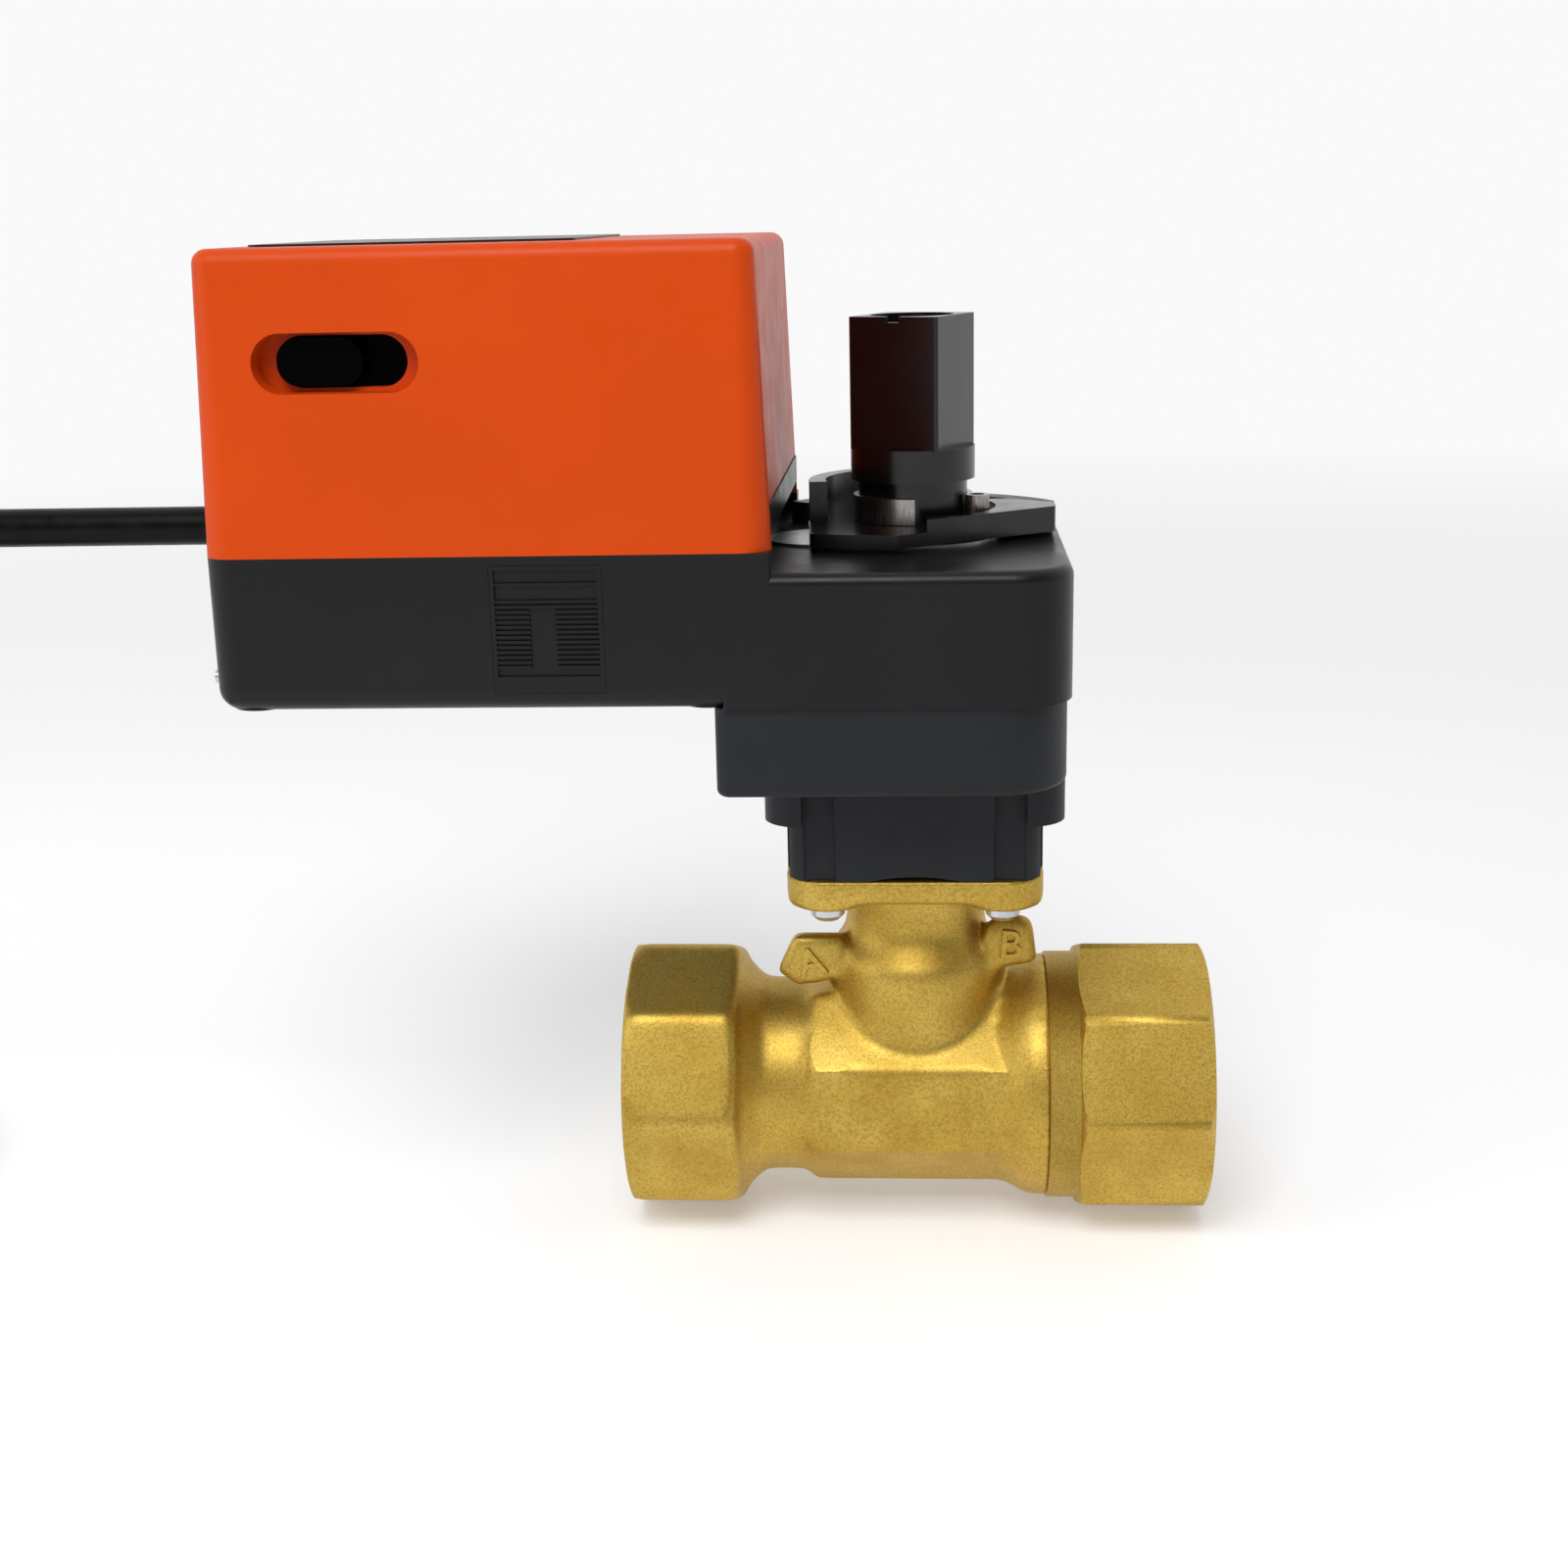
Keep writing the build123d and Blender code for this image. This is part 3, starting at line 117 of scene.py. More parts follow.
def noise(tree: bpy.types.NodeTree, size_mm: float, detail: float = 2.0,
          where: bpy.types.NodeSocket | None = None, rough: float = 0.5) -> bpy.types.NodeSocket:
    """Noise whose patches are about size_mm across, on Object coordinates.

    Args:
        tree: the node tree.
        size_mm: the size of one patch.
        detail: how many finer octaves are added.
        where: coordinates other than the object's own.
        rough: how strongly the finer octaves show.

    Returns:
        The noise's value socket.
    """
    if where is None:
        where = add(tree, "ShaderNodeTexCoord").outputs["Object"]
    settings = {"Scale": 1.0 / (size_mm * MM), "Detail": detail, "Roughness": rough}
    node = add(tree, "ShaderNodeTexNoise", settings, {"Vector": where})
    return node.outputs[0]


def between(tree: bpy.types.NodeTree, value: bpy.types.NodeSocket, low: float, high: float,
            start: float = 0.3, stop: float = 0.7) -> bpy.types.NodeSocket:
    """Map a value from start..stop to low..high, clamped.

    Args:
        tree: the node tree.
        value: the socket that is mapped.
        low: the result at start.
        high: the result at stop.
        start: the value that gives low.
        stop: the value that gives high.

    Returns:
        The mapped socket.
    """
    settings = {"From Min": start, "From Max": stop, "To Min": low, "To Max": high}
    node = add(tree, "ShaderNodeMapRange", settings, {"Value": value})
    return node.outputs[0]


def blend(tree: bpy.types.NodeTree, factor: bpy.types.NodeSocket, first: Any,
          second: Any) -> bpy.types.NodeSocket:
    """Mix two colours.

    Args:
        tree: the node tree.
        factor: 0 gives first and 1 gives second.
        first: a colour, or a colour socket.
        second: a colour, or a colour socket.

    Returns:
        The mixed colour's socket.
    """
    settings: dict[Any, Any] = {"data_type": "RGBA"}
    links: dict[Any, Any] = {0: factor}
    for index, colour in ((6, first), (7, second)):
        (settings if isinstance(colour, tuple) else links)[index] = colour
    return add(tree, "ShaderNodeMix", settings, links).outputs[2]


def relief(tree: bpy.types.NodeTree, shader: bpy.types.Node, height: bpy.types.NodeSocket,
           depth_mm: float) -> None:
    """Link a bump to a shader's normal.

    Args:
        tree: the node tree.
        shader: the Principled node.
        height: the pattern of the bump, from 0 to 1.
        depth_mm: how deep the bump is.
    """
    node = add(tree, "ShaderNodeBump", {"Strength": 1.0, "Distance": depth_mm * MM}, {"Height": height})
    tree.links.new(node.outputs[0], shader.inputs["Normal"])


@dataclass(frozen=True)
class ForgedBrass:
    """Hot-forged brass, shot-blasted: a golden metal whose fine dimples spread its highlights."""

    name: str = "forged_brass"
    light: str = "#D2B45A"
    mid: str = "#BD9B42"
    dark: str = "#8A6A2A"
    cloud_mm: float = 9.0
    grit_mm: float = 0.24
    speck_grits: float = 1.5
    speck_strength: float = 0.45
    dimple_mm: float = 0.03
    rough: float = 0.47

    def make(self) -> bpy.types.Material:
        """Build the material.

        Returns:
            The material.
        """
        material, tree, shader = blank(self.name)
        shader.inputs["Metallic"].default_value = 1.0
        clouds = between(tree, noise(tree, self.cloud_mm, 4.0), 0.0, 1.0, 0.25, 0.75)
        grain = noise(tree, self.grit_mm * self.speck_grits)
        specks = between(tree, grain, 0.0, self.speck_strength, 0.42, 0.66)
        base = blend(tree, clouds, linear(self.mid), linear(self.light))
        tree.links.new(blend(tree, specks, base, linear(self.dark)), shader.inputs["Base Color"])
        worn = between(tree, clouds, self.rough + 0.06, self.rough - 0.03, 0.0, 1.0)
        tree.links.new(worn, shader.inputs["Roughness"])
        relief(tree, shader, noise(tree, self.grit_mm, rough=0.55), self.dimple_mm)
        return material


@dataclass(frozen=True)
class MouldedPlastic:
    """Injection-moulded plastic from a spark-eroded mould: a fine even grain with a soft sheen.

    The real grain is about 0.1 mm wide, too fine to show, so it is drawn coarser.
    """

    name: str
    colour: str
    worn: str
    rough: float = 0.4
    grain_mm: float = 0.3
    depth_mm: float = 0.012
    specular: float = 0.3
    cloud_mm: float = 18.0
    smear_mm: float = 6.0

    def make(self) -> bpy.types.Material:
        """Build the material.

        Returns:
            The material.
        """
        material, tree, shader = blank(self.name)
        shader.inputs["IOR"].default_value = 1.53
        shader.inputs["Specular IOR Level"].default_value = self.specular
        clouds = between(tree, noise(tree, self.cloud_mm, 4.0), 0.0, 0.6, 0.35, 0.7)
        base = blend(tree, clouds, linear(self.colour), linear(self.worn))
        tree.links.new(base, shader.inputs["Base Color"])
        smears = noise(tree, self.smear_mm, 5.0, rough=0.65)
        sheen = between(tree, smears, self.rough - 0.05, self.rough + 0.07)
        tree.links.new(sheen, shader.inputs["Roughness"])
        relief(tree, shader, noise(tree, self.grain_mm), self.depth_mm)
        return material


@dataclass(frozen=True)
class WorkedMetal:
    """Turned, rolled or plated metal: a bright surface with fine lines along one direction.

    The real lines are a few hundredths of a millimetre wide, too fine to show, so they are drawn coarser.
    """

    name: str
    light: str
    dark: str
    rough: float = 0.3
    line_mm: float = 0.12
    stretch: tuple[float, float, float] = (1.0, 1.0, 0.02)
    depth_mm: float = 0.004
    patch_mm: float = 3.0

    def make(self) -> bpy.types.Material:
        """Build the material.

        Returns:
            The material.
        """
        material, tree, shader = blank(self.name)
        shader.inputs["Metallic"].default_value = 1.0
        place = add(tree, "ShaderNodeTexCoord").outputs["Object"]
        drawn = add(tree, "ShaderNodeMapping", {"Scale": self.stretch}, {"Vector": place}).outputs[0]
        lines = noise(tree, self.line_mm, 3.0, drawn)
        patches = between(tree, noise(tree, self.patch_mm, 3.0), 0.0, 1.0)
        base = blend(tree, patches, linear(self.light), linear(self.dark))
        tree.links.new(base, shader.inputs["Base Color"])
        sheen = between(tree, lines, self.rough - 0.07, self.rough + 0.1)
        tree.links.new(sheen, shader.inputs["Roughness"])
        relief(tree, shader, lines, self.depth_mm)
        return material


@dataclass(frozen=True)
class SoftPolymer:
    """Rubber, PVC, PTFE or acetal: a dense soft surface with a faint mottle and no metal in it."""

    name: str
    colour: str
    other: str
    rough: float = 0.55
    grain_mm: float = 0.5
    depth_mm: float = 0.01
    specular: float = 0.3
    mottle_mm: float = 4.0
    sheen_mm: float = 2.0

    def make(self) -> bpy.types.Material:
        """Build the material.

        Returns:
            The material.
        """
        material, tree, shader = blank(self.name)
        shader.inputs["IOR"].default_value = 1.5
        shader.inputs["Specular IOR Level"].default_value = self.specular
        mottle = between(tree, noise(tree, self.mottle_mm, 4.0), 0.0, 1.0)
        base = blend(tree, mottle, linear(self.colour), linear(self.other))
        tree.links.new(base, shader.inputs["Base Color"])
        sheen = between(tree, noise(tree, self.sheen_mm, 3.0), self.rough - 0.06, self.rough + 0.06)
        tree.links.new(sheen, shader.inputs["Roughness"])
        relief(tree, shader, noise(tree, self.grain_mm), self.depth_mm)
        return material


@dataclass(frozen=True)
class BoardLaminate:
    """Glass-epoxy laminate under green resist, with the faint lines of its copper tracks."""

    name: str = "board_laminate"
    resist: str = "#0F5A32"
    track: str = "#1F7A48"
    track_mm: float = 1.3
    track_depth_mm: float = 0.03

    def make(self) -> bpy.types.Material:
        """Build the material.

        Returns:
            The material.
        """
        material, tree, shader = blank(self.name)
        shader.inputs["Coat Weight"].default_value = 0.5
        shader.inputs["Roughness"].default_value = 0.35
        place = add(tree, "ShaderNodeTexCoord").outputs["Object"]
        settings = {"Scale": 1 / (4 * self.track_mm * MM), "distance": "CHEBYCHEV", "feature": "F1"}
        cells = add(tree, "ShaderNodeTexVoronoi", settings, {"Vector": place}).outputs["Distance"]
        tracks = between(tree, cells, 1.0, 0.0, 0.42, 0.5)
        base = blend(tree, tracks, linear(self.resist), linear(self.track))
        tree.links.new(base, shader.inputs["Base Color"])
        relief(tree, shader, tracks, self.track_depth_mm)
        return material


FINISHES: tuple[Any, ...] = (
    ForgedBrass(),
    # Glass-filled nylon of the adapter and bracket: blue-grey black, with a dry grain
    MouldedPlastic("charcoal_nylon", "#191B1F", "#202226", rough=0.48, depth_mm=0.015, specular=0.22),
    # Polycarbonate blend of the base: near black, smoother than the nylon
    MouldedPlastic("black_housing", "#0E0D0F", "#141315", rough=0.34, depth_mm=0.006, specular=0.22),
    # Polished acetal of the sleeve and pointer: sharp reflections on black
    MouldedPlastic("gloss_black", "#050506", "#09090A", rough=0.22, depth_mm=0.003, specular=0.45),
    # Black slider deep in its slot: colour darkened below the housing's black and specular cut to almost
    # nothing, as painted shade of the slot
    MouldedPlastic("slider_black_painted_shade", "#020202", "#040404", rough=0.3, depth_mm=0.003, specular=0.02),
    # Orange ABS of the cover: an even satin colour
    MouldedPlastic("orange_abs", "#CB4300", "#C23F00", rough=0.38, grain_mm=0.35, depth_mm=0.01,
                   specular=0.16),
    # Film of the bare label plate: dark brown, smooth
    MouldedPlastic("label_film", "#2A1B14", "#33221A", rough=0.3, depth_mm=0.002),
    # Zinc-plated steel: pale, with a faint blue
    WorkedMetal("zinc_steel", "#D6D8DA", "#B4B7BB", rough=0.3),
    # Spring steel: warmer and darker than the plating
    WorkedMetal("spring_steel", "#B9B2AD", "#8F8884", rough=0.25),
    # Turned stainless steel: fine rings round the stem
    WorkedMetal("turned_steel", "#C9C9CB", "#AFAFB2", rough=0.28, stretch=(1.0, 1.0, 0.4)),
    # Chromium on the ball: almost a mirror
    WorkedMetal("ball_chrome", "#D8D9DC", "#CFD0D4", rough=0.08, depth_mm=0.0005),
    # Sintered bronze of the bushes: brown and porous
    WorkedMetal("sintered_bronze", "#A8793F", "#8B6130", rough=0.5, line_mm=0.3, stretch=(1.0, 1.0, 1.0),
                depth_mm=0.02),
    # Ferrite magnet of the rotor: dull dark grey
    WorkedMetal("ferrite", "#5B5C60", "#45464A", rough=0.55, stretch=(1.0, 1.0, 1.0), depth_mm=0.01),
    # Cut brass of the pipe threads: brighter and smoother than the blasted skin
    WorkedMetal("turned_brass", "#D5B565", "#B8934A", rough=0.22, line_mm=0.1, depth_mm=0.003),
    # Nitrile rubber of the rings and the cable's bush: matt black
    SoftPolymer("black_rubber", "#0E0E10", "#151517", rough=0.6),
    # PTFE of the seats: waxy white
    SoftPolymer("white_ptfe", "#ECEBE6", "#E2E1DA", rough=0.5),
    # Natural acetal of the gears: ivory, a little glossy
    SoftPolymer("white_acetal", "#E9E6DA", "#DEDACC", rough=0.4),
    # PVC jacket of the cable: black with a long soft highlight
    SoftPolymer("cable_jacket", "#060607", "#0B0B0C", rough=0.33, grain_mm=0.35, depth_mm=0.006,
                specular=0.12),
    # Shrink sleeve of the capacitor: dark blue, glossy
    SoftPolymer("capacitor_sleeve", "#151B33", "#1C2440", rough=0.25, depth_mm=0.002),
    # Red PVC of the cores
    SoftPolymer("core_red", "#A9241A", "#951D15", rough=0.4, grain_mm=0.4, depth_mm=0.005),
    BoardLaminate(),
)

# The CAD nodes that wear each finish
DRESS: dict[str, tuple[str, ...]] = {
    "forged_brass": ("valve_body", "end_connector"),
    "ball_chrome": ("ball",),
    "white_ptfe": ("seat_a", "seat_b", "thrust_washer"),
    "turned_steel": ("stem", "flow_plate", "spindle"),
    "zinc_steel": ("flange_screws", "adapter_screws", "bracket_screws", "case_screws", "plate_screws",
                   "gear_plate", "thrust_plate", "end_pin", "motor_can"),
    "spring_steel": ("retaining_clip", "gear_pins"),
    "black_rubber": ("stem_rings", "joint_ring", "cable_gland"),
    "charcoal_nylon": ("adapter", "bracket"),
    "black_housing": ("base_housing", "rib_plate"),
    "gloss_black": ("pointer", "sleeve"),
    # The slider's finish is darkened as painted shade of its slot
    "slider_black_painted_shade": ("release_slider",),
    "orange_abs": ("cover",),
    "label_film": ("top_plate",),
    "white_acetal": ("idler_gear_2", "idler_gear_3", "output_gear", "terminal_block"),
    "sintered_bronze": ("lower_bush", "upper_bush"),
    "ferrite": ("motor_rotor",),
    "board_laminate": ("circuit_board",),
    "capacitor_sleeve": ("capacitor",),
    "core_red": ("cable_cores", "inner_cores"),
}


@dataclass
class Wardrobe:
    """Builds every finish once and puts it on the nodes that are made of it."""

    materials: dict[str, bpy.types.Material] = field(default_factory=dict)

    def make(self) -> None:
        """Build all the finishes."""
        for finish in FINISHES:
            self.materials[finish.name] = finish.make()

    def dress(self, item: bpy.types.Object, finish: str) -> None:
        """Give an object one finish in all its slots.

        Args:
            item: the object.
            finish: the finish's name.
        """
        material = self.materials[finish]
        if not item.data.materials:
            item.data.materials.append(material)
        for index in range(len(item.data.materials)):
            item.data.materials[index] = material

    def dress_nodes(self) -> None:
        """Put each finish on its nodes."""
        for finish, names in DRESS.items():
            for name in names:
                self.dress(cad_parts[name], finish)
            log.info("%s on %s", finish, ", ".join(names))


def merged_copy(name: str, node: str) -> bpy.types.Object:
    """Copy a CAD node's mesh with its loose triangles joined, so that it can be worked on.

    Args:
        name: the copy's name.
        node: the CAD node's name.

    Returns:
        The copy, linked to the scene.
    """
    mesh = bpy.data.meshes.new(name)
    work = bmesh.new()
    work.from_mesh(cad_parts[node].data)
    bmesh.ops.remove_doubles(work, verts=work.verts, dist=1e-6)
    work.to_mesh(mesh)
    work.free()
    item = bpy.data.objects.new(name, mesh)
    bpy.context.scene.collection.objects.link(item)
    return item


def bake_modifiers(item: bpy.types.Object) -> None:
    """Put the result of an object's modifiers into its mesh and take the modifiers off.

    Args:
        item: the object.
    """
    result = bpy.data.meshes.new_from_object(item.evaluated_get(bpy.context.evaluated_depsgraph_get()))
    item.modifiers.clear()
    item.data = result


def grid_mesh(name: str, points: np.ndarray) -> bpy.types.Object:
    """Make a closed mesh from a grid of points whose rows and columns both run round.

    Args:
        name: the object's name.
        points: an array of rows x columns x 3, in metres, whose rows and columns end beside their start.

    Returns:
        The object, linked to the scene.
    """
    rows, columns = points.shape[:2]
    index = np.arange(rows * columns).reshape(rows, columns)
    down, right = np.roll(index, -1, axis=0), np.roll(index, -1, axis=1)
    across = np.roll(down, -1, axis=1)
    quads = np.stack([index, right, across, down], axis=-1).reshape(-1, 4)
    mesh = bpy.data.meshes.new(name)
    mesh.from_pydata(points.reshape(-1, 3).tolist(), [], quads.tolist())
    mesh.update()
    item = bpy.data.objects.new(name, mesh)
    bpy.context.scene.collection.objects.link(item)
    return item


@dataclass
class Forging:
    """The visible skins of the two brass pieces: ports bored for a thread, and the body's blends softened.

    Sizes are in millimetres and follow the CAD's, apart from the bore, which meets the roots of the thread.
    """

    wardrobe: Wardrobe
    voxel: float = 0.45
    passes: int = 22
    strength: float = 0.55
    joint: float = 19.7
    flange_top: float = 36.8
    bolt: float = 12.73
    bolt_clear: float = 3.2
    port_floor: float = 26.5
    bore: float = 16.75
    bore_sides: int = 96
    chamber: float = 14.6
    chamber_from: float = -14.0
    throat: float = 12.0
    stem_bore: float = 7.0
    margin: float = 0.5
    end_margin: float = 0.6
    top_margin: float = 0.4
    overrun: float = 1.0
    relief_cut: float = 0.4
    sharp_from: float = 0.5

    def soften(self, mesh: bpy.types.Mesh) -> None:
        """Smooth the forged surfaces and leave the machined ones.

        Each point moves part of the way to the mean of its neighbours, over and over, by a weight that is
        nought in the bores and on the machined faces.

        Args:
            mesh: the body's mesh, in metres.
        """
        count = len(mesh.vertices)
        places = np.empty(count * 3)
        mesh.vertices.foreach_get("co", places)
        places = places.reshape(-1, 3)
        edges = np.empty(len(mesh.edges) * 2, dtype=np.int64)
        mesh.edges.foreach_get("vertices", edges)
        first, second = edges.reshape(-1, 2).T
        x, y, z = (places / MM).T
        from_pipe, from_stem = np.hypot(y, z), np.hypot(x, y)
        inside = (from_pipe < self.chamber) & (x > self.chamber_from) | (from_pipe < self.throat)
        inside |= (from_stem < self.stem_bore) & (z > 0.0)
        inside |= (from_pipe < self.bore + self.margin) & (x < self.end_margin - self.port_floor)
        machined = (x < self.end_margin - PORT_FACE) | (x > self.joint - self.margin)
        machined |= z > self.flange_top - self.top_margin
        machined |= np.hypot(np.abs(x) - self.bolt, np.abs(y) - self.bolt) < self.bolt_clear
        weight = np.where(inside | machined, 0.0, self.strength)[:, None]
        ends = np.concatenate([first, second])
        others = np.concatenate([second, first])
        degree = np.maximum(np.bincount(ends, minlength=count), 1)[:, None]
        for _ in range(self.passes):
            total = np.column_stack([np.bincount(ends, places[others, axis], count) for axis in range(3)])
            places = places + weight * (total / degree - places)
        mesh.vertices.foreach_set("co", places.ravel())
        mesh.update()

    def bored(self, item: bpy.types.Object, x0: float, x1: float) -> None:
        """Bore a port up to the roots of its thread.

        Args:
            item: the object that is bored.
            x0: where the bore starts along the pipe, in millimetres.
            x1: where it ends.
        """
        cutter_mesh = bpy.data.meshes.new("port_cutter")
        work = bmesh.new()
        turn = Matrix.Translation(Vector(((x0 + x1) / 2 * MM, 0, 0))) @ Matrix.Rotation(math.pi / 2, 4, "Y")
        bmesh.ops.create_cone(work, cap_ends=True, segments=self.bore_sides, radius1=self.bore * MM,
                              radius2=self.bore * MM, depth=(x1 - x0) * MM, matrix=turn)
        work.to_mesh(cutter_mesh)
        work.free()
        cutter = bpy.data.objects.new("port_cutter", cutter_mesh)
        bpy.context.scene.collection.objects.link(cutter)
        cut = item.modifiers.new("port", "BOOLEAN")
        cut.operation, cut.solver, cut.object = "DIFFERENCE", "EXACT", cutter
        bake_modifiers(item)
        bpy.data.objects.remove(cutter)

    def build(self) -> None:
        """Build the skins of the body and of the screwed end."""
        body = merged_copy("forged_body", "valve_body")
        self.bored(body, -PORT_FACE - self.overrun, -self.port_floor - self.relief_cut)
        remesh = body.modifiers.new("even", "REMESH")
        remesh.mode, remesh.voxel_size = "VOXEL", self.voxel * MM
        bake_modifiers(body)
        self.soften(body.data)
        body.data.shade_smooth()
        end = merged_copy("screwed_end", "end_connector")
        self.bored(end, self.port_floor + self.relief_cut, PORT_FACE + self.overrun)
        end.data.shade_smooth()
        end.data.set_sharp_from_angle(angle=self.sharp_from)
        for item, node in ((body, "valve_body"), (end, "end_connector")):
            item.data.materials.clear()
            item.data.materials.append(self.wardrobe.materials["forged_brass"])
            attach(item, "valve")
            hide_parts(node)
            log.info("%s with %d faces", item.name, len(item.data.polygons))


@dataclass
class PortThread:
    """The ports' internal pipe threads, 11 to the inch: closed sleeves with a ridge that winds round.

    Sizes are in millimetres.
    """

    wardrobe: Wardrobe
    pitch: float = 2.309
    crest: float = 15.145
    root: float = 16.62
    skin: float = 16.95
    mouth: float = 0.25
    length: float = 15.6
    ridge_height: float = 1.35
    ridge_cut: float = 0.18
    fade_in: float = 1.2
    fade_out: float = 1.5
    steps: int = 96
    around: int = 96

    def sleeve(self, start: float, sign: float) -> np.ndarray:
        """Points of one sleeve.

        The phase of the ridge is the place along the axis over the pitch, less the share of a turn. The
        inner radius swings with it between root and crest, as a V with flattened tips, and fades to the
        root at both ends.

        Args:
            start: where the port's mouth lies along the pipe.
            sign: 1 where the port runs in along +X, or -1 along -X.

        Returns:
            A grid of points round the section and round the axis.
        """
        along = np.linspace(self.mouth, self.length, self.steps)
        angle = np.linspace(0.0, 2 * math.pi, self.around, endpoint=False)
        phase = (along[:, None] / self.pitch - angle[None, :] / (2 * math.pi)) % 1.0
        ridge = np.clip(self.ridge_height * (1.0 - np.abs(2 * phase - 1.0)) - self.ridge_cut, 0.0, 1.0)
        fade = np.clip((along - self.mouth) / self.fade_in, 0.0, 1.0)
        fade *= np.clip((self.length - along) / self.fade_out, 0.0, 1.0)
        inner = self.root - (self.root - self.crest) * ridge * fade[:, None]
        radius = np.vstack([inner, np.full((2, self.around), self.skin)])
        places = np.concatenate([along, along[[-1, 0]]])
        x = np.broadcast_to((start + sign * places)[:, None], radius.shape)
        grid = np.stack([x, sign * radius * np.sin(angle), radius * np.cos(angle)], axis=-1)
        return grid * MM

    def build(self) -> None:
        """Build both threads."""
        for name, sign in (("port_thread_a", 1.0), ("port_thread_b", -1.0)):
            item = grid_mesh(name, self.sleeve(-sign * PORT_FACE, sign))
            item.data.shade_smooth()
            item.data.materials.append(self.wardrobe.materials["turned_brass"])
            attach(item, "valve")
            log.info("%s with %d faces", name, len(item.data.polygons))


@dataclass
class PortLetters:
    """The two raised letters that tell the ports apart, on the lugs beside the neck.

    Sizes are in millimetres. Each place is a port, its letter's x and z, and its turn in degrees.
    """

    wardrobe: Wardrobe
    height: float = 4.3
    cap_share: float = 0.7
    raised: float = 0.55
    rounding: float = 0.12
    face_y: float = -7.45
    places: tuple[tuple[Port, float, float, float], ...] = (
        (Port.INLET, -15.6, 20.6, -14.0),
        (Port.OUTLET, 14.1, 23.4, 4.0),
    )

    def build(self) -> None:
        """Build each letter as text, make it a mesh and then stand it on its lug."""
        for port, x, z, turn in self.places:
            data = bpy.data.curves.new("port_letter", "FONT")
            data.body = port.value
            data.size = self.height / self.cap_share * MM
            data.align_x, data.align_y = "CENTER", "CENTER"
            data.extrude = self.raised * MM
            data.bevel_depth = self.rounding * MM
            data.bevel_resolution = 1
            text = bpy.data.objects.new("port_letter", data)
            bpy.context.scene.collection.objects.link(text)
            shaped = text.evaluated_get(bpy.context.evaluated_depsgraph_get())
            mesh = bpy.data.meshes.new_from_object(shaped)
            bpy.data.objects.remove(text)
            stand = Matrix.Rotation(math.radians(turn), 4, "Y") @ Matrix.Rotation(math.pi / 2, 4, "X")
            mesh.transform(Matrix.Translation(Vector((x, self.face_y, z)) * MM) @ stand)
            item = bpy.data.objects.new(f"letter_{port.value.lower()}", mesh)
            bpy.context.scene.collection.objects.link(item)
            mesh.materials.clear()
            mesh.materials.append(self.wardrobe.materials["forged_brass"])
            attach(item, "valve")
            log.info("%s", item.name)


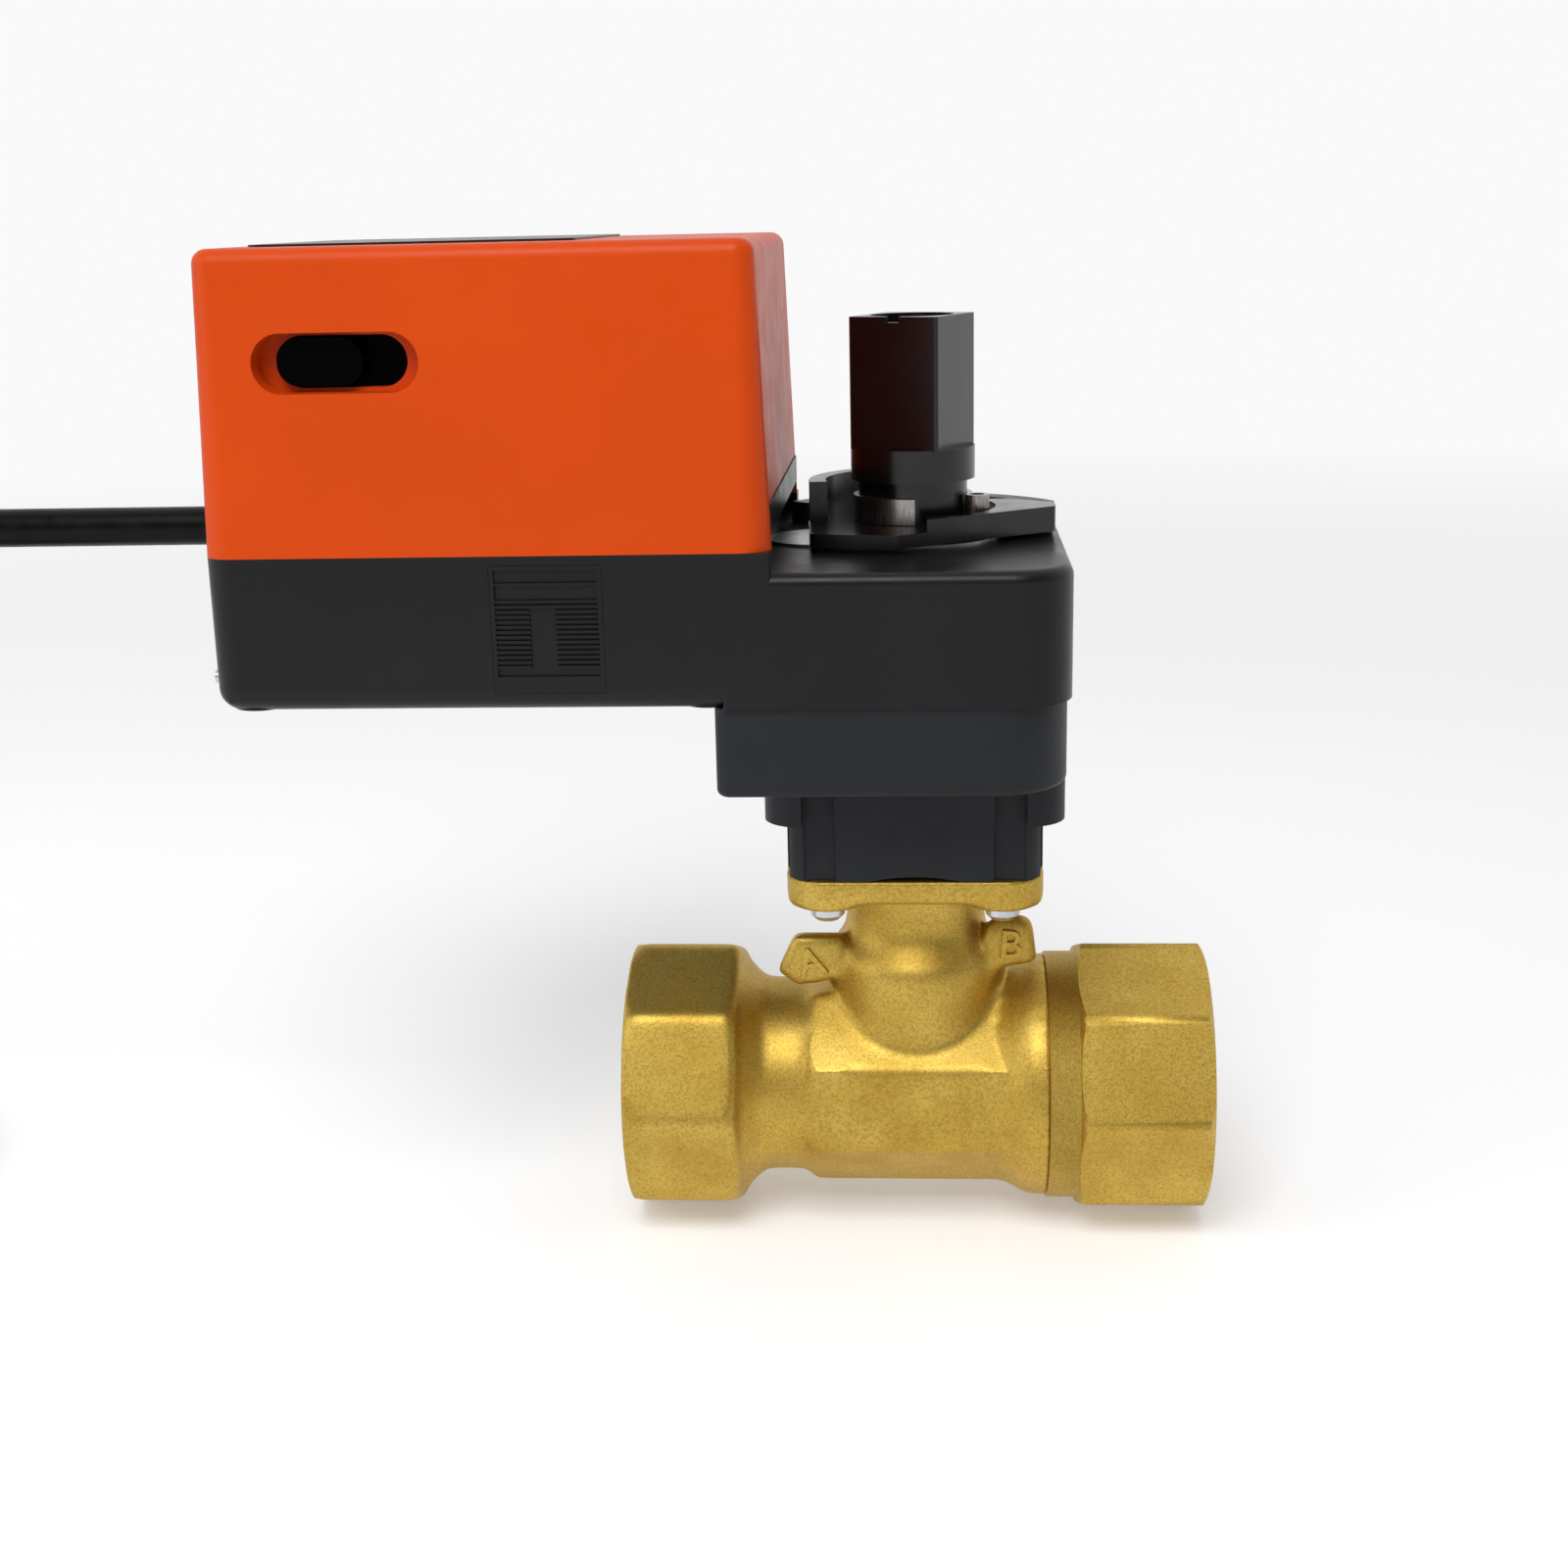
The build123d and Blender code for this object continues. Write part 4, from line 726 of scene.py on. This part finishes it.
@dataclass
class Cable:
    """The connection cable: free stretch, a put-away coil, and a short tail with its bare cores.

    Sizes are in millimetres.
    """

    wardrobe: Wardrobe
    diameter: float = 5.7
    length: float = 1000.0
    inner_end: float = -86.5
    coil_centre: tuple[float, float] = (-198.1, 0.0)
    coil_outer: float = 42.0
    coil_pitch: float = 5.75
    turns: float = 3.75
    points_per_turn: int = 20
    tail: float = 21.7
    rise_before: float = 0.45
    rise_turns: float = 0.2
    step_turns: float = 0.25

    def lying(self) -> float:
        """The height of the cable's middle where it lies on the floor."""
        return FLOOR_Z / MM + self.diameter / 2

    def route(self) -> list[tuple[float, float, float]]:
        """The points of the free stretch, from inside the case down to the coil."""
        edge = self.coil_centre[0] - self.coil_outer
        return [(self.inner_end, 0, 86.4), (-125, 0, 86.4), (-165, 0, 86.4), (-211, 20, 62), (-232, 39.5, 34),
                (-237.3, 41.5, 8), (-239.8, 31.5, -9.5), (edge, 14, self.lying()), (edge, 0, self.lying())]

    def coil(self) -> np.ndarray:
        """Points of the coil: flat turns one inside the other, and an end that rises and lies across them.

        The angle runs evenly counter-clockwise from the left, and the radius shrinks by the pitch in each
        turn. Near the end the height eases up by one diameter, and then the radius eases out to the middle
        of the turns.

        Returns:
            The points, in millimetres.
        """
        count = int(self.turns * self.points_per_turn)
        t = np.linspace(0.0, self.turns, count + 1)[1:]
        angle = math.pi + 2 * math.pi * t
        middle = self.coil_outer - self.coil_pitch * self.turns / 2
        out = self.ease(t, self.turns - self.step_turns, self.step_turns)
        radius = (self.coil_outer - self.coil_pitch * t) * (1.0 - out) + middle * out
        height = self.lying() + self.diameter * self.ease(t, self.turns - self.rise_before, self.rise_turns)
        x = self.coil_centre[0] + radius * np.cos(angle)
        y = self.coil_centre[1] + radius * np.sin(angle)
        end = [(self.coil_centre[0] - share * self.tail, middle, height[-1]) for share in (0.5, 1.0)]
        return np.vstack([np.column_stack([x, y, height]), end])

    def ease(self, t: np.ndarray, start: float, width: float) -> np.ndarray:
        """A smooth step from 0 to 1.

        Args:
            t: the places at which it is wanted.
            start: where the step begins.
            width: how long it lasts.

        Returns:
            The step's height at each place.
        """
        share = np.clip((t - start) / width, 0.0, 1.0)
        return share ** 2 * (3.0 - 2.0 * share)

    def build(self) -> None:
        """Build the cable as one NURBS curve."""
        points = np.vstack([np.array(self.route()), self.coil()]) * MM
        data = bpy.data.curves.new("cable", "CURVE")
        data.dimensions = "3D"
        spline = data.splines.new("NURBS")
        spline.points.add(len(points) - 1)
        spline.points.foreach_set("co", np.column_stack([points, np.ones(len(points))]).ravel())
        spline.use_endpoint_u = True
        spline.order_u = 3
        spline.resolution_u = 8
        data.bevel_depth = self.diameter / 2 * MM
        data.bevel_resolution = 6
        data.use_fill_caps = True
        cable = bpy.data.objects.new("cable", data)
        bpy.context.scene.collection.objects.link(cable)
        data.materials.append(self.wardrobe.materials["cable_jacket"])
        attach(cable, "valve")
        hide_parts("cable_free", "cable_coil", "cable_tail")
        log.info("cable with %d points, about %.1f mm long", len(points),
                 np.linalg.norm(np.diff(points, axis=0), axis=1).sum() / MM)


@dataclass(frozen=True)
class Lamp:
    """One square soft lamp: its name, place, watts, width and the point that it is aimed at, in metres."""

    name: str
    where: tuple[float, float, float]
    watts: float
    size: float
    aim: tuple[float, float, float]


@dataclass
class Studio:
    """The pale floor, the soft lamps, the white surroundings and the camera.

    Lengths are in metres, apart from the eye's place and the sensor, which are in millimetres.
    """

    floor_size: float = 12.0
    floor_colour: tuple[float, float, float, float] = (0.86, 0.86, 0.87, 1.0)
    floor_rough: float = 0.6
    floor_specular: float = 0.1
    floor_lift: float = 0.25
    fade_from: float = 0.35
    fade_to: float = 1.1
    white: float = 0.95
    sky_light: float = 0.5
    dim_front: float = 0.22
    dim_until: float = -0.5
    white_from: float = 0.15
    eye: tuple[float, float, float] = (2.0, -309.1, 129.4)
    yaw: float = 4.0
    pitch: float = 15.0
    roll: float = -1.3
    focal_px: float = 2179.0
    image_px: float = 1600.0
    sensor_mm: float = 36.0
    lamps: tuple[Lamp, ...] = (
        Lamp("key", (-0.1, -0.55, 0.7), 4.5, 0.45, (0.0, 0.0, 0.04)),
        Lamp("left", (-0.75, -0.35, 0.35), 1.6, 0.5, (-0.02, 0.0, 0.05)),
    )

    def seen_only(self, tree: bpy.types.NodeTree) -> bpy.types.NodeSocket:
        """Tell the rays that are seen from those that only carry light.

        Args:
            tree: the node tree.

        Returns:
            One for camera, glossy and transmission rays, and nought for the rest.
        """
        path = add(tree, "ShaderNodeLightPath")
        total = path.outputs["Is Camera Ray"]
        for name in ("Is Glossy Ray", "Is Transmission Ray"):
            settings = {"operation": "ADD", "use_clamp": True}
            total = add(tree, "ShaderNodeMath", settings, {0: total, 1: path.outputs[name]}).outputs[0]
        return total

    def floor(self) -> None:
        """A wide pale floor that keeps the shadow near the part and fades to plain white further off."""
        half = self.floor_size / 2
        corners = np.array([(-half, -half), (half, -half), (half, half), (-half, half)])
        verts = np.column_stack([corners, np.full(4, FLOOR_Z)])
        mesh = bpy.data.meshes.new("floor")
        mesh.from_pydata(verts.tolist(), [], [(0, 1, 2, 3)])
        item = bpy.data.objects.new("floor", mesh)
        bpy.context.scene.collection.objects.link(item)
        material, tree, shader = blank("studio_floor")
        shader.inputs["Base Color"].default_value = self.floor_colour
        shader.inputs["Roughness"].default_value = self.floor_rough
        shader.inputs["Specular IOR Level"].default_value = self.floor_specular
        shader.inputs["Emission Color"].default_value = WHITE
        seen = self.seen_only(tree)
        lift = between(tree, seen, 0.0, self.floor_lift, 0.0, 1.0)
        tree.links.new(lift, shader.inputs["Emission Strength"])
        place = add(tree, "ShaderNodeTexCoord").outputs["Object"]
        away = add(tree, "ShaderNodeVectorMath", {"operation": "LENGTH"}, {0: place}).outputs["Value"]
        fade = between(tree, away, 0.0, 1.0, self.fade_from, self.fade_to)
        glow = between(tree, seen, self.sky_light, self.white, 0.0, 1.0)
        far = add(tree, "ShaderNodeEmission", {"Color": WHITE}, {"Strength": glow})
        mix = add(tree, "ShaderNodeMixShader", links={0: fade, 1: shader.outputs[0], 2: far.outputs[0]})
        end = next(node for node in tree.nodes if node.bl_idname == "ShaderNodeOutputMaterial")
        tree.links.new(mix.outputs[0], end.inputs["Surface"])
        mesh.materials.append(material)

    def world(self) -> None:
        """White surroundings, softer as a light than as a background, with a dim near side to mirror.

        Camera rays see white. Glossy and transmission rays see white on the far side, which fades to the dim
        front by how far they point towards the near side. All other rays see the softer light.
        """
        world = bpy.data.worlds.new("studio")
        bpy.context.scene.world = world
        world.use_nodes = True
        tree = world.node_tree
        tree.nodes.clear()
        way = add(tree, "ShaderNodeTexCoord").outputs["Generated"]
        behind = add(tree, "ShaderNodeSeparateXYZ", links={"Vector": way}).outputs["Y"]
        mirrored = between(tree, behind, self.dim_front, self.white, self.dim_until, self.white_from)
        camera = add(tree, "ShaderNodeLightPath").outputs["Is Camera Ray"]
        shown = add(tree, "ShaderNodeMix", {3: self.white}, {0: camera, 2: mirrored}).outputs[0]
        seen = self.seen_only(tree)
        strength = add(tree, "ShaderNodeMix", {2: self.sky_light}, {0: seen, 3: shown}).outputs[0]
        back = add(tree, "ShaderNodeBackground", {"Color": WHITE}, {"Strength": strength})
        add(tree, "ShaderNodeOutputWorld", links={"Surface": back.outputs[0]})

    def hang(self, lamp: Lamp) -> None:
        """Hang one square soft lamp.

        Args:
            lamp: the lamp's place, strength, width and aim.
        """
        data = bpy.data.lights.new(lamp.name, "AREA")
        data.energy = lamp.watts
        data.size = lamp.size
        item = bpy.data.objects.new(lamp.name, data)
        item.location = lamp.where
        item.rotation_euler = (Vector(lamp.aim) - Vector(lamp.where)).to_track_quat("-Z", "Y").to_euler()
        bpy.context.scene.collection.objects.link(item)

    def camera(self) -> None:
        """The camera at the photograph's angle: level axes turned by yaw, then by pitch, then by roll."""
        yaw, pitch, roll = (math.radians(a) for a in (self.yaw, self.pitch, self.roll))
        up = Vector((0, 0, 1))
        right = Vector((math.cos(yaw), math.sin(yaw), 0))
        ahead = Vector((-math.sin(yaw), math.cos(yaw), 0))
        level, rise = ahead, up
        ahead = math.cos(pitch) * level - math.sin(pitch) * rise
        up = math.sin(pitch) * level + math.cos(pitch) * rise
        side, rise = right, up
        right = math.cos(roll) * side + math.sin(roll) * rise
        up = math.cos(roll) * rise - math.sin(roll) * side
        data = bpy.data.cameras.new("camera")
        data.sensor_width = self.sensor_mm
        data.lens = self.focal_px / self.image_px * self.sensor_mm
        data.clip_start = 0.01
        item = bpy.data.objects.new("camera", data)
        place = Matrix((right, up, -ahead)).transposed().to_4x4()
        place.translation = Vector(self.eye) * MM
        item.matrix_world = place
        bpy.context.scene.collection.objects.link(item)
        bpy.context.scene.camera = item

    def build(self) -> None:
        """Set up the whole studio."""
        self.floor()
        self.world()
        for lamp in self.lamps:
            self.hang(lamp)
        self.camera()
        bpy.context.scene.view_settings.view_transform = "Standard"


def main() -> None:
    """Build every sub-assembly in order."""
    logging.basicConfig(level=logging.INFO, format="%(name)s: %(message)s")
    wardrobe = Wardrobe()
    wardrobe.make()
    wardrobe.dress_nodes()
    Forging(wardrobe).build()
    PortThread(wardrobe).build()
    PortLetters(wardrobe).build()
    Cable(wardrobe).build()
    Studio().build()


if __name__ == "__main__":
    main()
